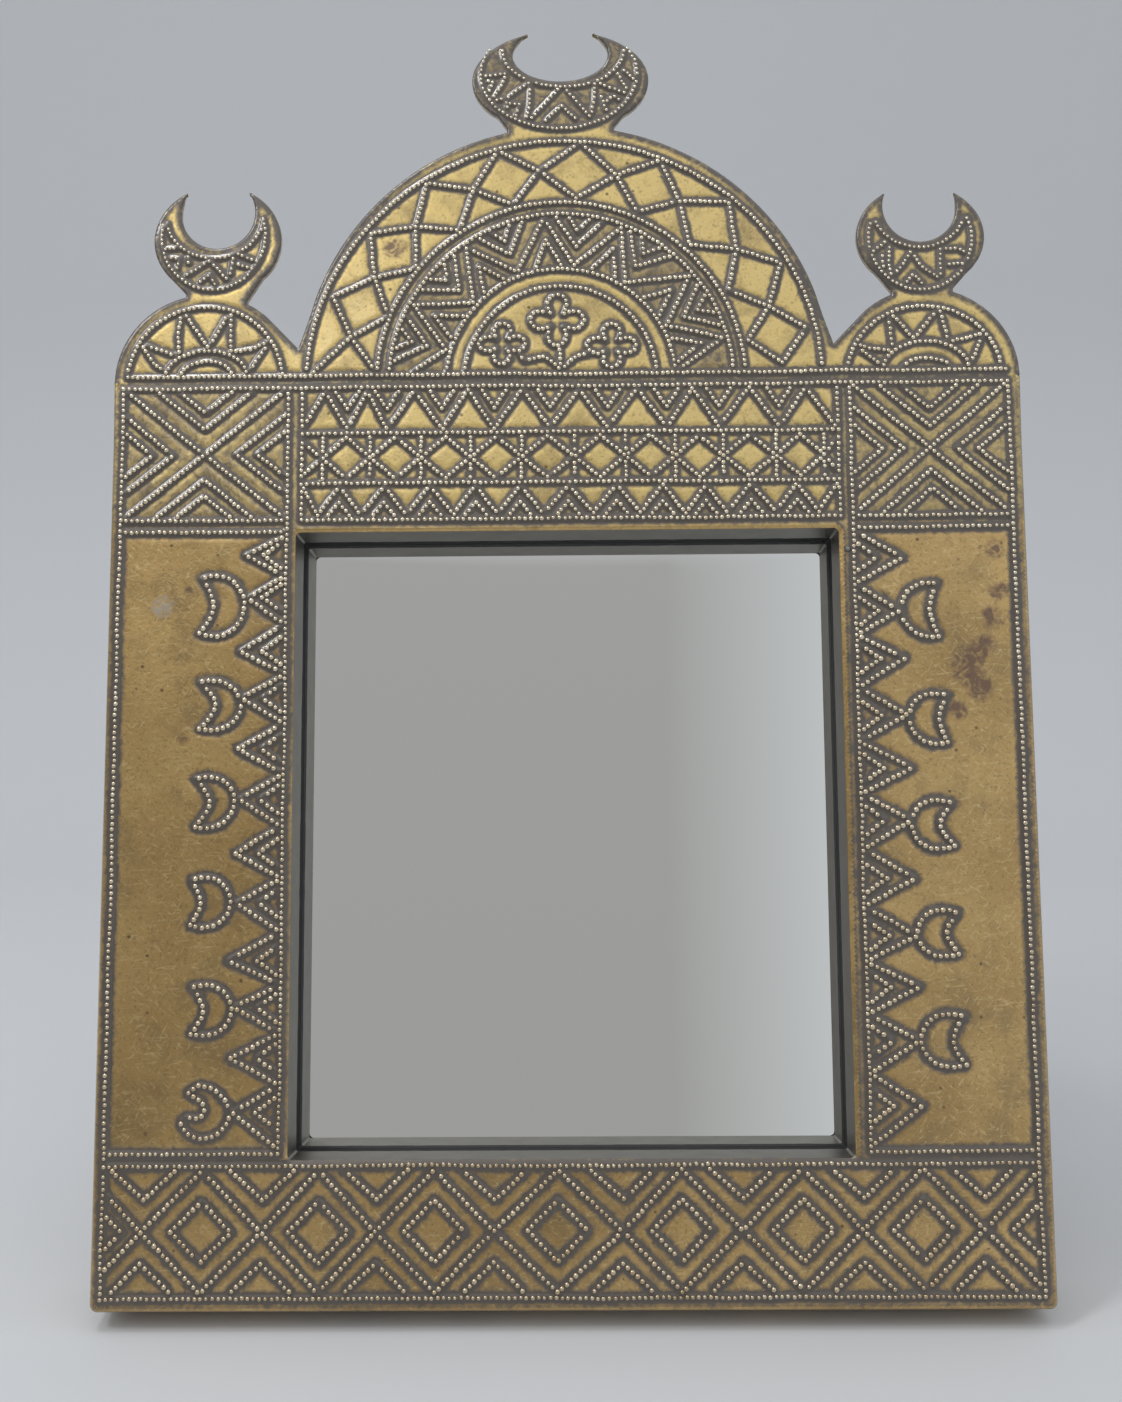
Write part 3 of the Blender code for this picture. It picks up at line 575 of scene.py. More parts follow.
face_beads = set_beads((edge_rows, BORDER), (face_rows, LARGE), (fine_rows, MIDDLE))
crest_beads = set_beads((crest_rows, SMALL), (small_rows, TINY))
all_rows = edge_rows + face_rows + fine_rows + crest_rows + small_rows
row_points = [p for row in all_rows for p in spaced(hand_drawn(row), ROW_SAMPLE)]
print("beads on the face:", len(face_beads), "on the crest:", len(crest_beads))

# %% [markdown]
# ## How far to the nearest row
# Nearly everything on the skin depends on a distance: to the nearest row, or to the nearest edge.
# Measuring every point against every other would take minutes. A k-d tree sorts the points in space once
# and then finds the nearest at once.

# %% Nearest distances
def finder(points):
    """A tree that gives the distance to the nearest of these points."""
    tree = kdtree.KDTree(len(points))
    for number, (u, v) in enumerate(points):
        tree.insert((u, v, 0.0), number)
    tree.balance()
    return tree


def distances(tree, points):
    """How far each point lies from the tree's nearest one."""
    return np.array([tree.find((u, v, 0.0))[2] for u, v in points])


def eased(low, high, value):
    """0 below low, 1 above high and a smooth climb between."""
    t = np.clip((value - low) / (high - low), 0.0, 1.0)
    return t * t * (3.0 - 2.0 * t)


row_tree = finder(row_points)
print("row samples:", len(row_points))

# %% [markdown]
# ## Fields that have dulled, and marks of use
# Some whole fields have lost their polish: the squares, the band of chevrons, the seam and the top
# crescent. They are found by their place. The brown and pale marks from long use were placed one by
# one. Each is a soft spot here, and the finish tears its edge later.

# %% Dull fields and marks
CRESCENT_DULL = (509.0, 517.0)
# How dull the squares, the chevrons, the seam and the top crescent are
DULL, SEAM_HALF = (0.5, 0.58, 0.8, 0.68), 2.0
# Right, up, radius, and 1 for a brown mark or -1 for a pale one
MARKS = (
    (172.0, 268.0, 9.0, 1), (177.0, 258.0, 7.0, 1), (180.0, 276.0, 6.0, 1), (184.0, 288.0, 6.0, 1),
    (187.0, 300.0, 5.0, 1), (186.0, 318.0, 5.0, 1), (168.0, 248.0, 5.0, 1),
    (-176.0, 296.0, 6.0, -1), (-165.0, 303.0, 2.5, 1), (-166.0, 238.0, 3.0, 1), (-76.0, 458.0, 6.0, 1),
)  # fmt: skip
MARK_IN, MARK_OUT = 0.3, 1.3


def dull_at(points):
    """How far the fields have lost their polish at each point."""
    u, v = np.array(points).T
    square = ((u < INNER_LEFT) | (u > INNER_RIGHT)) & (v > SQUARE_LOW_V) & (v < TOP_V)
    out = np.hypot(u - DOME_MID, v - SEAM_V)
    chevrons = (out > DOME_RINGS[2]) & (out < DOME_RINGS[1]) & (v > SEAM_V)
    seam = (np.abs(v - SEAM_V) < SEAM_HALF) & (np.abs(u) < RIGHT)
    fields = (square, chevrons, seam, eased(*CRESCENT_DULL, v))
    return np.max([share * field for share, field in zip(DULL, fields)], axis=0)


def marks_at(points):
    """How strongly each point is marked: above 0 for brown and below 0 for pale."""
    u, v = np.array(points).T
    worn = np.zeros(len(u))
    for x, y, radius, sign in MARKS:
        worn += sign * (1.0 - eased(radius * MARK_IN, radius * MARK_OUT, np.hypot(u - x, v - y)))
    return worn


print("marks:", len(MARKS), "dullest row point:", round(float(dull_at(row_points).max()), 2))

# %% [markdown]
# ## The height of the brass
# The relief is one rule. A row stands on a low ridge with a shallow valley on each side, near a free edge
# the sheet rolls back round the wood, and slow noise adds the dents of hand work. The same distances tell
# the finish where polish has never reached: close to a row, and along the edges, where the dark is partly
# dirt and partly painted shade at the rolled rim. At the seam both sheets roll back by the same radius, so
# that their edges run on.

# %% Height and patina
RIDGE_H, RIDGE_IN, RIDGE_OUT = 0.50, 0.3, 1.8
VALLEY_H, VALLEY_IN, VALLEY_OUT = 0.20, 2.0, 4.0
# The patina is full up to PATINA_IN from a row and ends at PATINA_OUT, which shrinks up the panel
PATINA_IN, PATINA_OUT, PATINA_RISE, PATINA_MOST = 1.8, (4.5, 3.6), (300.0, 340.0), 1.2
DENT_H, DENT_SIZE, DENT_SLICE = 0.25, 26.0, 3.0
SEAM_ROUND, SEAM_BLEND, EDGE_FLAT = 0.8, 30.0, 3.0
WORN_SOFT, DIRT_FULL = 0.6, 0.3


def relief(points, edges):
    """Each point's height and patina. Dirt also lies along an edge, with painted shade at the rolled rim,
    but not where the edge is worn.
    """
    up = np.array(points)[:, 1]
    row_gap = distances(row_tree, points)
    dents = np.array([noise.noise(Vector((u / DENT_SIZE, v / DENT_SIZE, DENT_SLICE))) for u, v in points])
    slope = eased(RIDGE_IN, RIDGE_OUT, row_gap)
    valley = VALLEY_H * slope * (1.0 - eased(VALLEY_IN, VALLEY_OUT, row_gap))
    height = RIDGE_H * (1.0 - slope) - valley + DENT_H * dents
    patina_end = np.interp(up, PATINA_RISE, PATINA_OUT)
    groove = np.clip((patina_end - row_gap) / (patina_end - PATINA_IN), 0.0, PATINA_MOST)
    groove = np.maximum(groove, dull_at(points))
    for tree, radius, dirt_and_shade, worn, reach in edges:
        gap = distances(tree, points)
        height *= eased(0.0, EDGE_FLAT, gap)
        bend = np.interp(np.abs(up - SEAM_V), (0.0, SEAM_BLEND), (SEAM_ROUND, radius))
        height -= bend - np.sqrt(bend**2 - (bend - np.minimum(gap, bend)) ** 2)
        # Along an edge the darkening is partly dirt and partly painted shade at the rolled rim.
        margin = dirt_and_shade * eased(worn - WORN_SOFT, worn, gap) * (1.0 - eased(reach * DIRT_FULL, reach, gap))
        groove = np.maximum(groove, margin)
    return height, groove


print("height on a row:", round(float(relief(row_points[:1], [])[0][0]), 2), "mm")

# %% [markdown]
# ## Outline of the crest
# It is read from the crest's solid, as the loop round its front face, so that the skin can't drift from
# the solid. The solid has few points on its arcs, so the stretches between sharp corners are drawn again
# as smooth curves through the same points.

# %% Crest outline
RIM_STEP, CORNER_TURN, CURVE_STEPS = 0.9, math.radians(22.0), 8


def front_loop(node):
    """The loop round a solid's front face, in millimetres on the panel."""
    bm = bmesh.new()
    bm.from_mesh(NODES[node].data)
    bm.transform(PANEL.inverted())
    bmesh.ops.remove_doubles(bm, verts=bm.verts, dist=0.01)
    front = {f for f in bm.faces if all(abs(v.co.y) < 0.02 for v in f.verts)}
    rim = [e for e in bm.edges if sum(f in front for f in e.link_faces) == 1]
    start = rim[0].verts[0]
    loop, edge, vert = [], rim[0], start
    while not loop or vert != start:
        loop.append((vert.co.x, vert.co.z))
        vert = edge.other_vert(vert)
        edge = next(e for e in vert.link_edges if e in rim and e != edge)
    bm.free()
    return loop


def smooth_stretch(points):
    """A curve through the points of one stretch between two corners."""
    if len(points) < 3:
        return points
    padded = [np.array(p) for p in [points[0]] + points + [points[-1]]]
    drawn = []
    for a, b, c, d in zip(padded, padded[1:], padded[2:], padded[3:]):
        for t in np.linspace(0.0, 1.0, CURVE_STEPS + 1)[:-1]:
            terms = [2 * b, (c - a) * t]
            terms.append((2 * a - 5 * b + 4 * c - d) * t * t)
            terms.append((3 * b - a - 3 * c + d) * t**3)
            drawn.append(tuple(sum(terms) / 2))
    return drawn + [points[-1]]


def smooth_loop(loop):
    """The loop with its arcs smoothed and its sharp corners kept."""
    count = len(loop)
    ways = [math.atan2(b[1] - a[1], b[0] - a[0]) for a, b in zip(loop, loop[1:] + loop[:1])]
    turns = [abs((ways[i] - ways[i - 1] + math.pi) % (2 * math.pi) - math.pi) for i in range(count)]
    corners = [i for i in range(count) if turns[i] > CORNER_TURN]
    drawn = []
    for first, last in zip(corners, corners[1:] + [corners[0] + count]):
        stretch = [loop[i % count] for i in range(first, last + 1)]
        drawn += [tuple(p) for p in spaced(smooth_stretch(stretch), RIM_STEP)[:-1]]
    return drawn


crest_rim = smooth_loop(front_loop("crest_sheet"))
crest_rim = [(u, v if v > SEAM_V + 0.5 else SEAM_V) for u, v in crest_rim]
if sum(a[0] * b[1] - b[0] * a[1] for a, b in zip(crest_rim, crest_rim[1:])) < 0:
    crest_rim.reverse()
print("rim points of the crest:", len(crest_rim))

# %% [markdown]
# ## Outlines of the face and its opening
# The face is a rectangle with rounded lower corners, and the opening is one with four rounded corners.
# Both are simple enough to draw from their sizes, which were read from the solids at the start.

# %% Face outlines
FOOT_R, WINDOW_R = 3.0, 2.0


def face_loop():
    """The face's outline from the seam's left end, round the foot and back."""
    r = FOOT_R
    left = arc((-HALF_W + r, r), r, r, 180, 270)
    right = arc((HALF_W - r, r), r, r, 270, 360)
    return [(-HALF_W, SEAM_V)] + left + right + [(HALF_W, SEAM_V)]


def window_loop():
    """The opening's outline."""
    r, u, low, high = WINDOW_R, OPEN_HALF, OPEN_LOW, OPEN_HIGH
    corners = ((-u + r, low + r, 180), (u - r, low + r, 270), (u - r, high - r, 0), (-u + r, high - r, 90))
    return [p for x, y, a in corners for p in arc((x, y), r, r, a, a + 90)]


def closed(loop):
    """A loop's points, evenly spaced."""
    return [tuple(p) for p in spaced(loop + loop[:1], RIM_STEP)[:-1]]


face_rim, window_rim = closed(face_loop()), closed(window_loop())
print("rim points of the face and its opening:", len(face_rim), len(window_rim))

# %% [markdown]
# ## A flat mesh for each skin
# A skin is flat at first. Points lie on a triangle grid, close together where rows of beads are near and
# further apart on plain brass, and along the rows themselves, so that the ridges come out sharp. Blender
# joins them to the outline by a constrained triangulation. A plain grid would do for the face, but not for
# the crest's curved edge.

# %% Flat skins
GRID_FACE, GRID_CREST, GRID_RISE = 1.08, 0.84, 0.866
PLAIN_EVERY, PLAIN_GAP, RIM_GAP = 3, 5.5, 3.0
# Shares of a step that grid points keep from a rim or a row, and from the seam
GRID_CLEAR, SEAM_CLEAR, RIDGE_CLEAR = 0.5, 0.4, 0.5


def grid_points(low, high, step):
    """A triangle grid over a rectangle, as (point, on the coarse grid) pairs."""
    made, rise = [], step * GRID_RISE
    for j in range(int((high[1] - low[1]) / rise) + 1):
        for i in range(int((high[0] - low[0]) / step) + 1):
            point = (low[0] + (i + 0.5 * (j % 2)) * step, low[1] + j * step * GRID_RISE)
            made.append((point, i % PLAIN_EVERY == 0 and j % PLAIN_EVERY == 0))
    return made


def inside(points, rims):
    """True for each point that lies within the rims, by counting the rim lines to its right."""
    u, v = np.array(points).T
    odd = np.zeros(len(u), bool)
    for rim in rims:
        for (a, b), (c, d) in zip(rim, rim[1:] + rim[:1]):
            if b != d:
                odd ^= ((b > v) != (d > v)) & (u < a + (v - b) * (c - a) / (d - b))
    return odd


def rim_gaps(points, edges):
    """How far each point lies from the nearest free edge."""
    return np.min([distances(edge[0], points) for edge in edges], axis=0)


def chosen_points(rims, edges, step):
    """The rims' points, then points along the rows, then those of the grid that are needed."""
    grid = grid_points(np.min(rims[0], axis=0), np.max(rims[0], axis=0), step)
    places = [p for p, _ in grid]
    coarse = np.array([c for _, c in grid])
    rim_gap, row_gap = rim_gaps(places, edges), distances(row_tree, places)
    seam_gap = np.abs(np.array(places)[:, 1] - SEAM_V)
    close = (row_gap < PLAIN_GAP) | (rim_gap < RIM_GAP) | (np.abs(marks_at(places)) > 0)
    kept = (close | coarse) & (rim_gap > step * GRID_CLEAR) & (seam_gap > step * SEAM_CLEAR)
    kept &= inside(places, rims) & (row_gap > step * GRID_CLEAR)
    ridge = list({(round(u), round(v)): (u, v) for u, v in row_points[::2]}.values())
    ridge = [p for p, within in zip(ridge, inside(ridge, rims)) if within]
    ridge = [p for p, gap in zip(ridge, rim_gaps(ridge, edges)) if gap > RIDGE_CLEAR]
    return [p for rim in rims for p in rim] + ridge + [p for p, k in zip(places, kept) if k]


def flat_skin(rims, edges, step):
    """Points and faces within the rims. The outer rim comes first."""
    lines, start = [], 0
    for rim in rims:
        lines += [(start + i, start + (i + 1) % len(rim)) for i in range(len(rim))]
        start += len(rim)
    chosen = [Vector(p) for p in chosen_points(rims, edges, step)]
    drawn = delaunay_2d_cdt(chosen, lines, [], 0, 1e-6, False)
    points = np.array(drawn[0])
    middles = points[np.array(drawn[2])].mean(axis=1)
    return points, [f for f, within in zip(drawn[2], inside(middles, rims)) if within]


print("grid points in a square centimetre:", len(grid_points((0, 0), (10, 10), GRID_FACE)))

# %% [markdown]
# ## Walls behind the rim
# The sheet is folded back round the wood. Rings of points behind the outer rim make the side, and a last
# one makes the lip on the back. The tips of the crescents' horns are no thicker than the sheet, so the
# wall gets shallow there. A horn is found by the sharp turn of the rim. No wall is drawn along the seam,
# where the sheets meet.

# %% Walls
HORN_TURN, HORN_DEPTH, HORN_TAPER = math.radians(110.0), 1.0, 6.0
FOLD, LOWEST = 0.5, 0.2


def on_seam(point):
    """True on the line where the two sheets meet."""
    return abs(point[1] - SEAM_V) < 0.05


def depths_along(rim, depth):
    """The wall's depth at each point of a rim: thin at the tip of a horn and full a few millimetres away."""
    points = np.array(rim)
    back, ahead = points - np.roll(points, 2, axis=0), np.roll(points, -2, axis=0) - points
    turns = np.arctan2(back[:, 0] * ahead[:, 1] - back[:, 1] * ahead[:, 0], (back * ahead).sum(axis=1))
    tips = [p for p, turn in zip(rim, turns) if turn > HORN_TURN]
    if not tips:
        return np.full(len(rim), depth)
    return HORN_DEPTH + (depth - HORN_DEPTH) * eased(0.0, HORN_TAPER, distances(finder(tips), rim))


def add_wall(rim, verts, faces, shade, depth, lip, dirt_and_shade):
    """Rings of points behind the outer rim: down the side to the depth, then in by the lip."""
    count = len(rim)
    depths = depths_along(rim, depth)
    run = np.roll(rim, -1, axis=0) - np.roll(rim, 1, axis=0)
    inward = np.column_stack((-run[:, 1], run[:, 0])) / np.maximum(np.hypot(*run.T), 1e-9)[:, None]
    rings = [(0.0, 0.35), (0.0, 0.7), (0.0, 1.0 - FOLD / depth), (FOLD, 1.0), (lip, 1.0)]
    previous = 0
    for inset, share in rings:
        start = len(verts)
        for (u, v), n, back in zip(rim, inward, depths * share):
            verts.append((u + inset * n[0], back, max(v + inset * n[1], LOWEST)))
        # The rolled side is darkened: partly dirt, partly painted shade.
        shade += [dirt_and_shade] * count
        for i in range(count):
            j = (i + 1) % count
            if not (on_seam(rim[i]) and on_seam(rim[j])):
                faces.append((previous + i, previous + j, start + j, start + i))
        previous = start


print("rim points on the horns:", int((depths_along(crest_rim, CREST_DEPTH) < CREST_DEPTH).sum()))

# %% [markdown]
# ## The embossed skins
# Now each point of a flat skin moves out by its height, and the walls are added. The patina, with the
# painted shade along the rims, and the marks are kept on the mesh as attributes, which the brass reads. Each
# skin stands for the plain sheet of its solid.

# %% Skins
# Free edges: rounding, dirt and painted rim shade, the width worn clean and the reach of the dirt.
# Walls: depth, lip, and dirt and painted shade
FACE_EDGE, WINDOW_EDGE, CREST_EDGE = (1.9, 0.6, 1.4, 5.5), (1.0, 0.9, 2.0, 5.5), (0.8, 0.88, 0.0, 4.5)
FACE_WALL, CREST_WALL = (FACE_DEPTH, 8.0, 0.3), (CREST_DEPTH, 1.1, 0.6)
EDGE_SAMPLE = 0.3


def edge_finder(rim, finish):
    """A finder for a rim's free edge, with its finish."""
    return finder([p for p in spaced(rim + rim[:1], EDGE_SAMPLE) if not on_seam(p)]), *finish


def tidy_skin(mesh):
    """Drop loose points, turn every face outward, shade smooth and set the skin on the panel."""
    bm = bmesh.new()
    bm.from_mesh(mesh)
    bmesh.ops.delete(bm, geom=[v for v in bm.verts if not v.link_faces], context="VERTS")
    bmesh.ops.recalc_face_normals(bm, faces=bm.faces)
    front = max(bm.faces, key=lambda f: f.calc_area() * abs(f.normal.y))
    if front.normal.y > 0:
        bmesh.ops.reverse_faces(bm, faces=bm.faces)
    bm.to_mesh(mesh)
    bm.free()
    mesh.shade_smooth()
    mesh.transform(PANEL)
    return mesh


def mesh_with(name, verts, faces, **shades):
    """A mesh on the panel from its points and faces, with a number at each point for each shade."""
    mesh = bpy.data.meshes.new(name)
    mesh.from_pydata(verts, [], faces)
    for shade, values in shades.items():
        mesh.attributes.new(shade, "FLOAT", "POINT").data.foreach_set("value", values)
    return tidy_skin(mesh)


def skin_mesh(name, rims, edges, step, wall):
    """A skin within these rims, with a wall behind the first."""
    points, faces = flat_skin(rims, edges, step)
    height, groove = relief(points, edges)
    verts = [(u, -h, v) for (u, v), h in zip(points, height)]
    shade = list(groove)
    add_wall(rims[0], verts, faces, shade, *wall)
    worn = list(marks_at(points)) + [0.0] * (len(verts) - len(points))
    return mesh_with(name, verts, faces, groove=shade, mark=worn)


def new_piece(name, mesh, slot, *stands_for):
    """A piece that moves with the panel and, where named, takes the place of solids."""
    piece = bpy.data.objects.new(name, mesh)
    scene.collection.objects.link(piece)
    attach(piece, "panel")
    if stands_for:
        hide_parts(*stands_for)
    return piece


def told_size(piece):
    """Print how many triangles a piece has."""
    piece.data.calc_loop_triangles()
    print(piece.name, "triangles:", len(piece.data.loop_triangles))


face_edges = [edge_finder(face_rim, FACE_EDGE), edge_finder(window_rim, WINDOW_EDGE)]
crest_edges = [edge_finder(crest_rim, CREST_EDGE)]
face_mesh = skin_mesh("face_skin", [face_rim, window_rim], face_edges, GRID_FACE, FACE_WALL)
crest_mesh = skin_mesh("crest_skin", [crest_rim], crest_edges, GRID_CREST, CREST_WALL)
face_skin = new_piece("face_skin", face_mesh, "brass_sheet", "face_sheet")
crest_skin = new_piece("crest_skin", crest_mesh, "brass_sheet", "crest_sheet")
told_size(face_skin)
told_size(crest_skin)

# %% [markdown]
# ## The beads themselves
# A bead is half a small sphere. Thousands of separate spheres would slow everything down, so one eight-
# sided dome is made with Blender's sphere tool, and its points are copied to every place into a single
# mesh. The rim of each dome is marked as groove and its top as clear. The bead's foot is dark, partly
# with dirt and partly with painted shade where it meets the sheet, and its top is rubbed bright.

# %% Bead meshes
BEAD_SQUASH, BEAD_SINK, BEAD_FOOT_DIRT_AND_SHADE = 0.80, 0.20, 2.4


def bead_shape():
    """The points and faces of half a unit sphere."""
    bm = bmesh.new()
    bmesh.ops.create_uvsphere(bm, u_segments=8, v_segments=6, radius=1.0)
    bmesh.ops.delete(bm, geom=[v for v in bm.verts if v.co.z < -0.1], context="VERTS")
    bm.verts.index_update()
    points = np.array([v.co for v in bm.verts])
    faces = np.array([[v.index for v in f.verts] + [-1] * (4 - len(f.verts)) for f in bm.faces])
    bm.free()
    return points, faces


def bead_mesh(name, beads, edges):
    """All the beads of one sheet as one mesh, each on the skin at its place."""
    ground, _ = relief([(u, v) for u, v, _ in beads], edges)
    shape, shape_faces = bead_shape()
    verts, faces, shade = [], [], []
    for (u, v, size), base in zip(beads, ground):
        start = len(verts)
        for x, y, z in shape:
            verts.append((u + size * x, -(base - BEAD_SINK + size * BEAD_SQUASH * z), v + size * y))
        # Painted shade with patina: each bead's foot is marked dark where it meets the sheet.
        shade += [max(0.0, 1.0 - BEAD_FOOT_DIRT_AND_SHADE * z) for _, _, z in shape]
        faces += [[start + i for i in f if i >= 0] for f in shape_faces]
    return mesh_with(name, verts, faces, groove=shade)


face_dots = bead_mesh("face_beads", face_beads, face_edges)
face_bead_piece = new_piece("face_beads", face_dots, "brass_sheet")
crest_dots = bead_mesh("crest_beads", crest_beads, crest_edges)
crest_bead_piece = new_piece("crest_beads", crest_dots, "brass_sheet")
told_size(face_bead_piece)
told_size(crest_bead_piece)

# %% [markdown]
# ## Old sheet brass
# Yellow brass, about two parts copper to one of zinc, rolled thin, embossed from behind and then rubbed
# for years. The fields are a satin gold with scratches, pits and stains. Above the opening a brighter gold
# is painted on, standing for the brighter room that the upper brass reflects. A grey-brown patina lies along
# the rows. The groove attribute chooses between the two, and noise at a few sizes breaks up both. A clear
# film lies over all of it and gives the silvery glints.

# %% Brass
GRAIN_MM, SWIRL_MM, STAIN_MM, PIT_MM, CLOUD_MM = 1.3, 5.0, 22.0, 10.0, 60.0
SCRATCH_MM, SCRATCH_LONG, SCRATCH_TURNS = 0.9, 8.0, (32.0, -48.0, 84.0)


def old_brass():
    """Rubbed gold on the fields, dark patina along the rows."""
    material, tree, shader, where = new_material("old_sheet_brass")
    groove = add(tree, "ShaderNodeAttribute", {"attribute_name": "groove"}).outputs["Fac"]
    mark = add(tree, "ShaderNodeAttribute", {"attribute_name": "mark"}).outputs["Fac"]
    cloud = add(tree, "ShaderNodeTexNoise", {"Scale": per_metre(CLOUD_MM), "Detail": 4.0}, {"Vector": where})
    settings = {"Scale": per_metre(STAIN_MM), "Detail": 8.0, "Roughness": 0.65}
    stain = add(tree, "ShaderNodeTexNoise", settings, {"Vector": where})
    settings = {"Scale": per_metre(SWIRL_MM), "Detail": 3.0, "Distortion": 1.6}
    swirl = add(tree, "ShaderNodeTexNoise", settings, {"Vector": where})
    grain = add(tree, "ShaderNodeTexNoise", {"Scale": per_metre(GRAIN_MM), "Detail": 3.0}, {"Vector": where})
    pits = add(tree, "ShaderNodeTexVoronoi", {"Scale": per_metre(PIT_MM)}, {"Vector": where})
    scratches = []
    for turn in SCRATCH_TURNS:
        settings = {"Rotation": (0.0, math.radians(turn), 0.0), "Scale": (1.0, 1.0, SCRATCH_LONG)}
        turned = add(tree, "ShaderNodeMapping", {"vector_type": "TEXTURE", **settings}, {"Vector": where})
        settings = {"Scale": per_metre(SCRATCH_MM), "Distortion": 0.8}
        line = add(tree, "ShaderNodeTexNoise", settings, {"Vector": turned.outputs[0]})
        scratches.append(add(tree, "ShaderNodeMapRange", {1: 0.60, 2: 0.72, 4: 0.45}, {0: line}))

    # Each layer is a share (how much) and a colour, laid over the ones before it
    warm = add(tree, "ShaderNodeMapRange", {1: 0.35, 2: 0.65}, {0: cloud.outputs["Fac"]})
    gold = add(tree, "ShaderNodeMix", {"data_type": "RGBA", 6: linear("#A98953"), 7: linear("#C6A468")})
    tree.links.new(warm.outputs[0], gold.inputs[0])
    height = add(tree, "ShaderNodeSeparateXYZ", {}, {"Vector": where}).outputs["Z"]
    # Painted light: above the opening the gold is brighter, standing for the brighter room that it reflects.
    painted_top_light = add(tree, "ShaderNodeMapRange", {1: 0.325, 2: 0.345}, {0: height})
    brown = add(tree, "ShaderNodeMapRange", {1: 0.50, 2: 0.72, 4: 0.75}, {0: stain.outputs["Fac"]})
    lines = add(tree, "ShaderNodeMapRange", {1: 0.56, 2: 0.70, 4: 0.3}, {0: swirl.outputs["Fac"]})
    speck = add(tree, "ShaderNodeMapRange", {1: 0.44, 2: 0.30, 4: 0.5}, {0: grain.outputs["Fac"]})
    hole = add(tree, "ShaderNodeMapRange", {1: 0.10, 2: 0.05, 4: 0.8}, {0: pits.outputs["Distance"]})
    torn = add(tree, "ShaderNodeMapRange", {1: 0.30, 2: 0.66, 3: 0.2, 4: 1.3}, {0: swirl.outputs["Fac"]})
    blot = add(tree, "ShaderNodeMath", {"operation": "MULTIPLY"}, {0: mark, 1: torn.outputs[0]})
    burnt = add(tree, "ShaderNodeMapRange", {1: 0.15, 2: 0.85, 4: 0.85}, {0: blot.outputs[0]})
    bleached = add(tree, "ShaderNodeMapRange", {1: -0.25, 2: -0.8, 4: 0.7}, {0: blot.outputs[0]})
    layers = ((painted_top_light, "#DDC17B"), (brown, "#86704A"), (lines, "#8C7344"))
    layers += ((speck, "#7E673F"), (hole, "#57442A"))
    layers += (*((scratch, "#E2CB92") for scratch in scratches), (burnt, "#6A5044"), (bleached, "#B5AFA6"))
    under = gold
    for share, code in layers:
        over = add(tree, "ShaderNodeMix", {"data_type": "RGBA", 7: linear(code)}, {0: share.outputs[0]})
        tree.links.new(under.outputs[2], over.inputs[6])
        under = over

    ragged = add(tree, "ShaderNodeMapRange", {1: 0.3, 2: 0.7, 3: -0.2, 4: 0.2}, {0: swirl.outputs["Fac"]})
    depth = add(tree, "ShaderNodeMath", {"operation": "ADD"}, {0: groove, 1: ragged.outputs[0]})
    # The groove drives the patina, and along the rims painted shade as well.
    patina_and_rim_shade = add(tree, "ShaderNodeMapRange", {1: 0.2, 2: 0.85}, {0: depth.outputs[0]})
    patina = add(tree, "ShaderNodeMix", {"data_type": "RGBA", 6: linear("#423B35"), 7: linear("#62584E")})
    tree.links.new(stain.outputs["Fac"], patina.inputs[0])
    colour = add(tree, "ShaderNodeMix", {"data_type": "RGBA"}, {0: patina_and_rim_shade.outputs[0]})
    tree.links.new(under.outputs[2], colour.inputs[6])
    tree.links.new(patina.outputs[2], colour.inputs[7])
    tree.links.new(colour.outputs[2], shader.inputs["Base Color"])

    rough = add(tree, "ShaderNodeMapRange", {3: 0.32, 4: 0.42}, {0: patina_and_rim_shade.outputs[0]})
    tree.links.new(rough.outputs[0], shader.inputs["Roughness"])
    wavy = add(tree, "ShaderNodeBump", {"Strength": 0.2, "Distance": 0.0004}, {"Height": swirl})
    bump = add(tree, "ShaderNodeBump", {"Strength": 0.35, "Distance": 0.0002}, {"Height": grain})
    tree.links.new(wavy.outputs["Normal"], bump.inputs["Normal"])
    tree.links.new(bump.outputs["Normal"], shader.inputs["Normal"])
    tree.links.new(wavy.outputs["Normal"], shader.inputs["Coat Normal"])
    metal = add(tree, "ShaderNodeMapRange", {3: 1.0, 4: 0.35}, {0: patina_and_rim_shade.outputs[0]})
    tree.links.new(metal.outputs[0], shader.inputs["Metallic"])
    shader.inputs["Coat Weight"].default_value = 1.0
    shader.inputs["Coat Roughness"].default_value = 0.16
    return material


def dress(pieces, material):
    """Give these objects one material."""
    for piece in pieces:
        piece.data.materials.clear()
        piece.data.materials.append(material)


dress((face_skin, crest_skin), old_brass())
print("old brass on both skins")

# %% [markdown]
# ## Brass on the beads
# The beads stand highest, so cloths and hands rub them most. Their tops are worn to a pale yellow in
# patches, and they are painted paler the higher they sit on the panel, standing for the brighter light up
# there. Their feet are dark, partly dirt and partly painted shade where they meet the sheet. The same brass
# could be used again, but it would put scratches and stains that are larger than a bead on them.

# %% Bead brass
WEAR_MM = 14.0


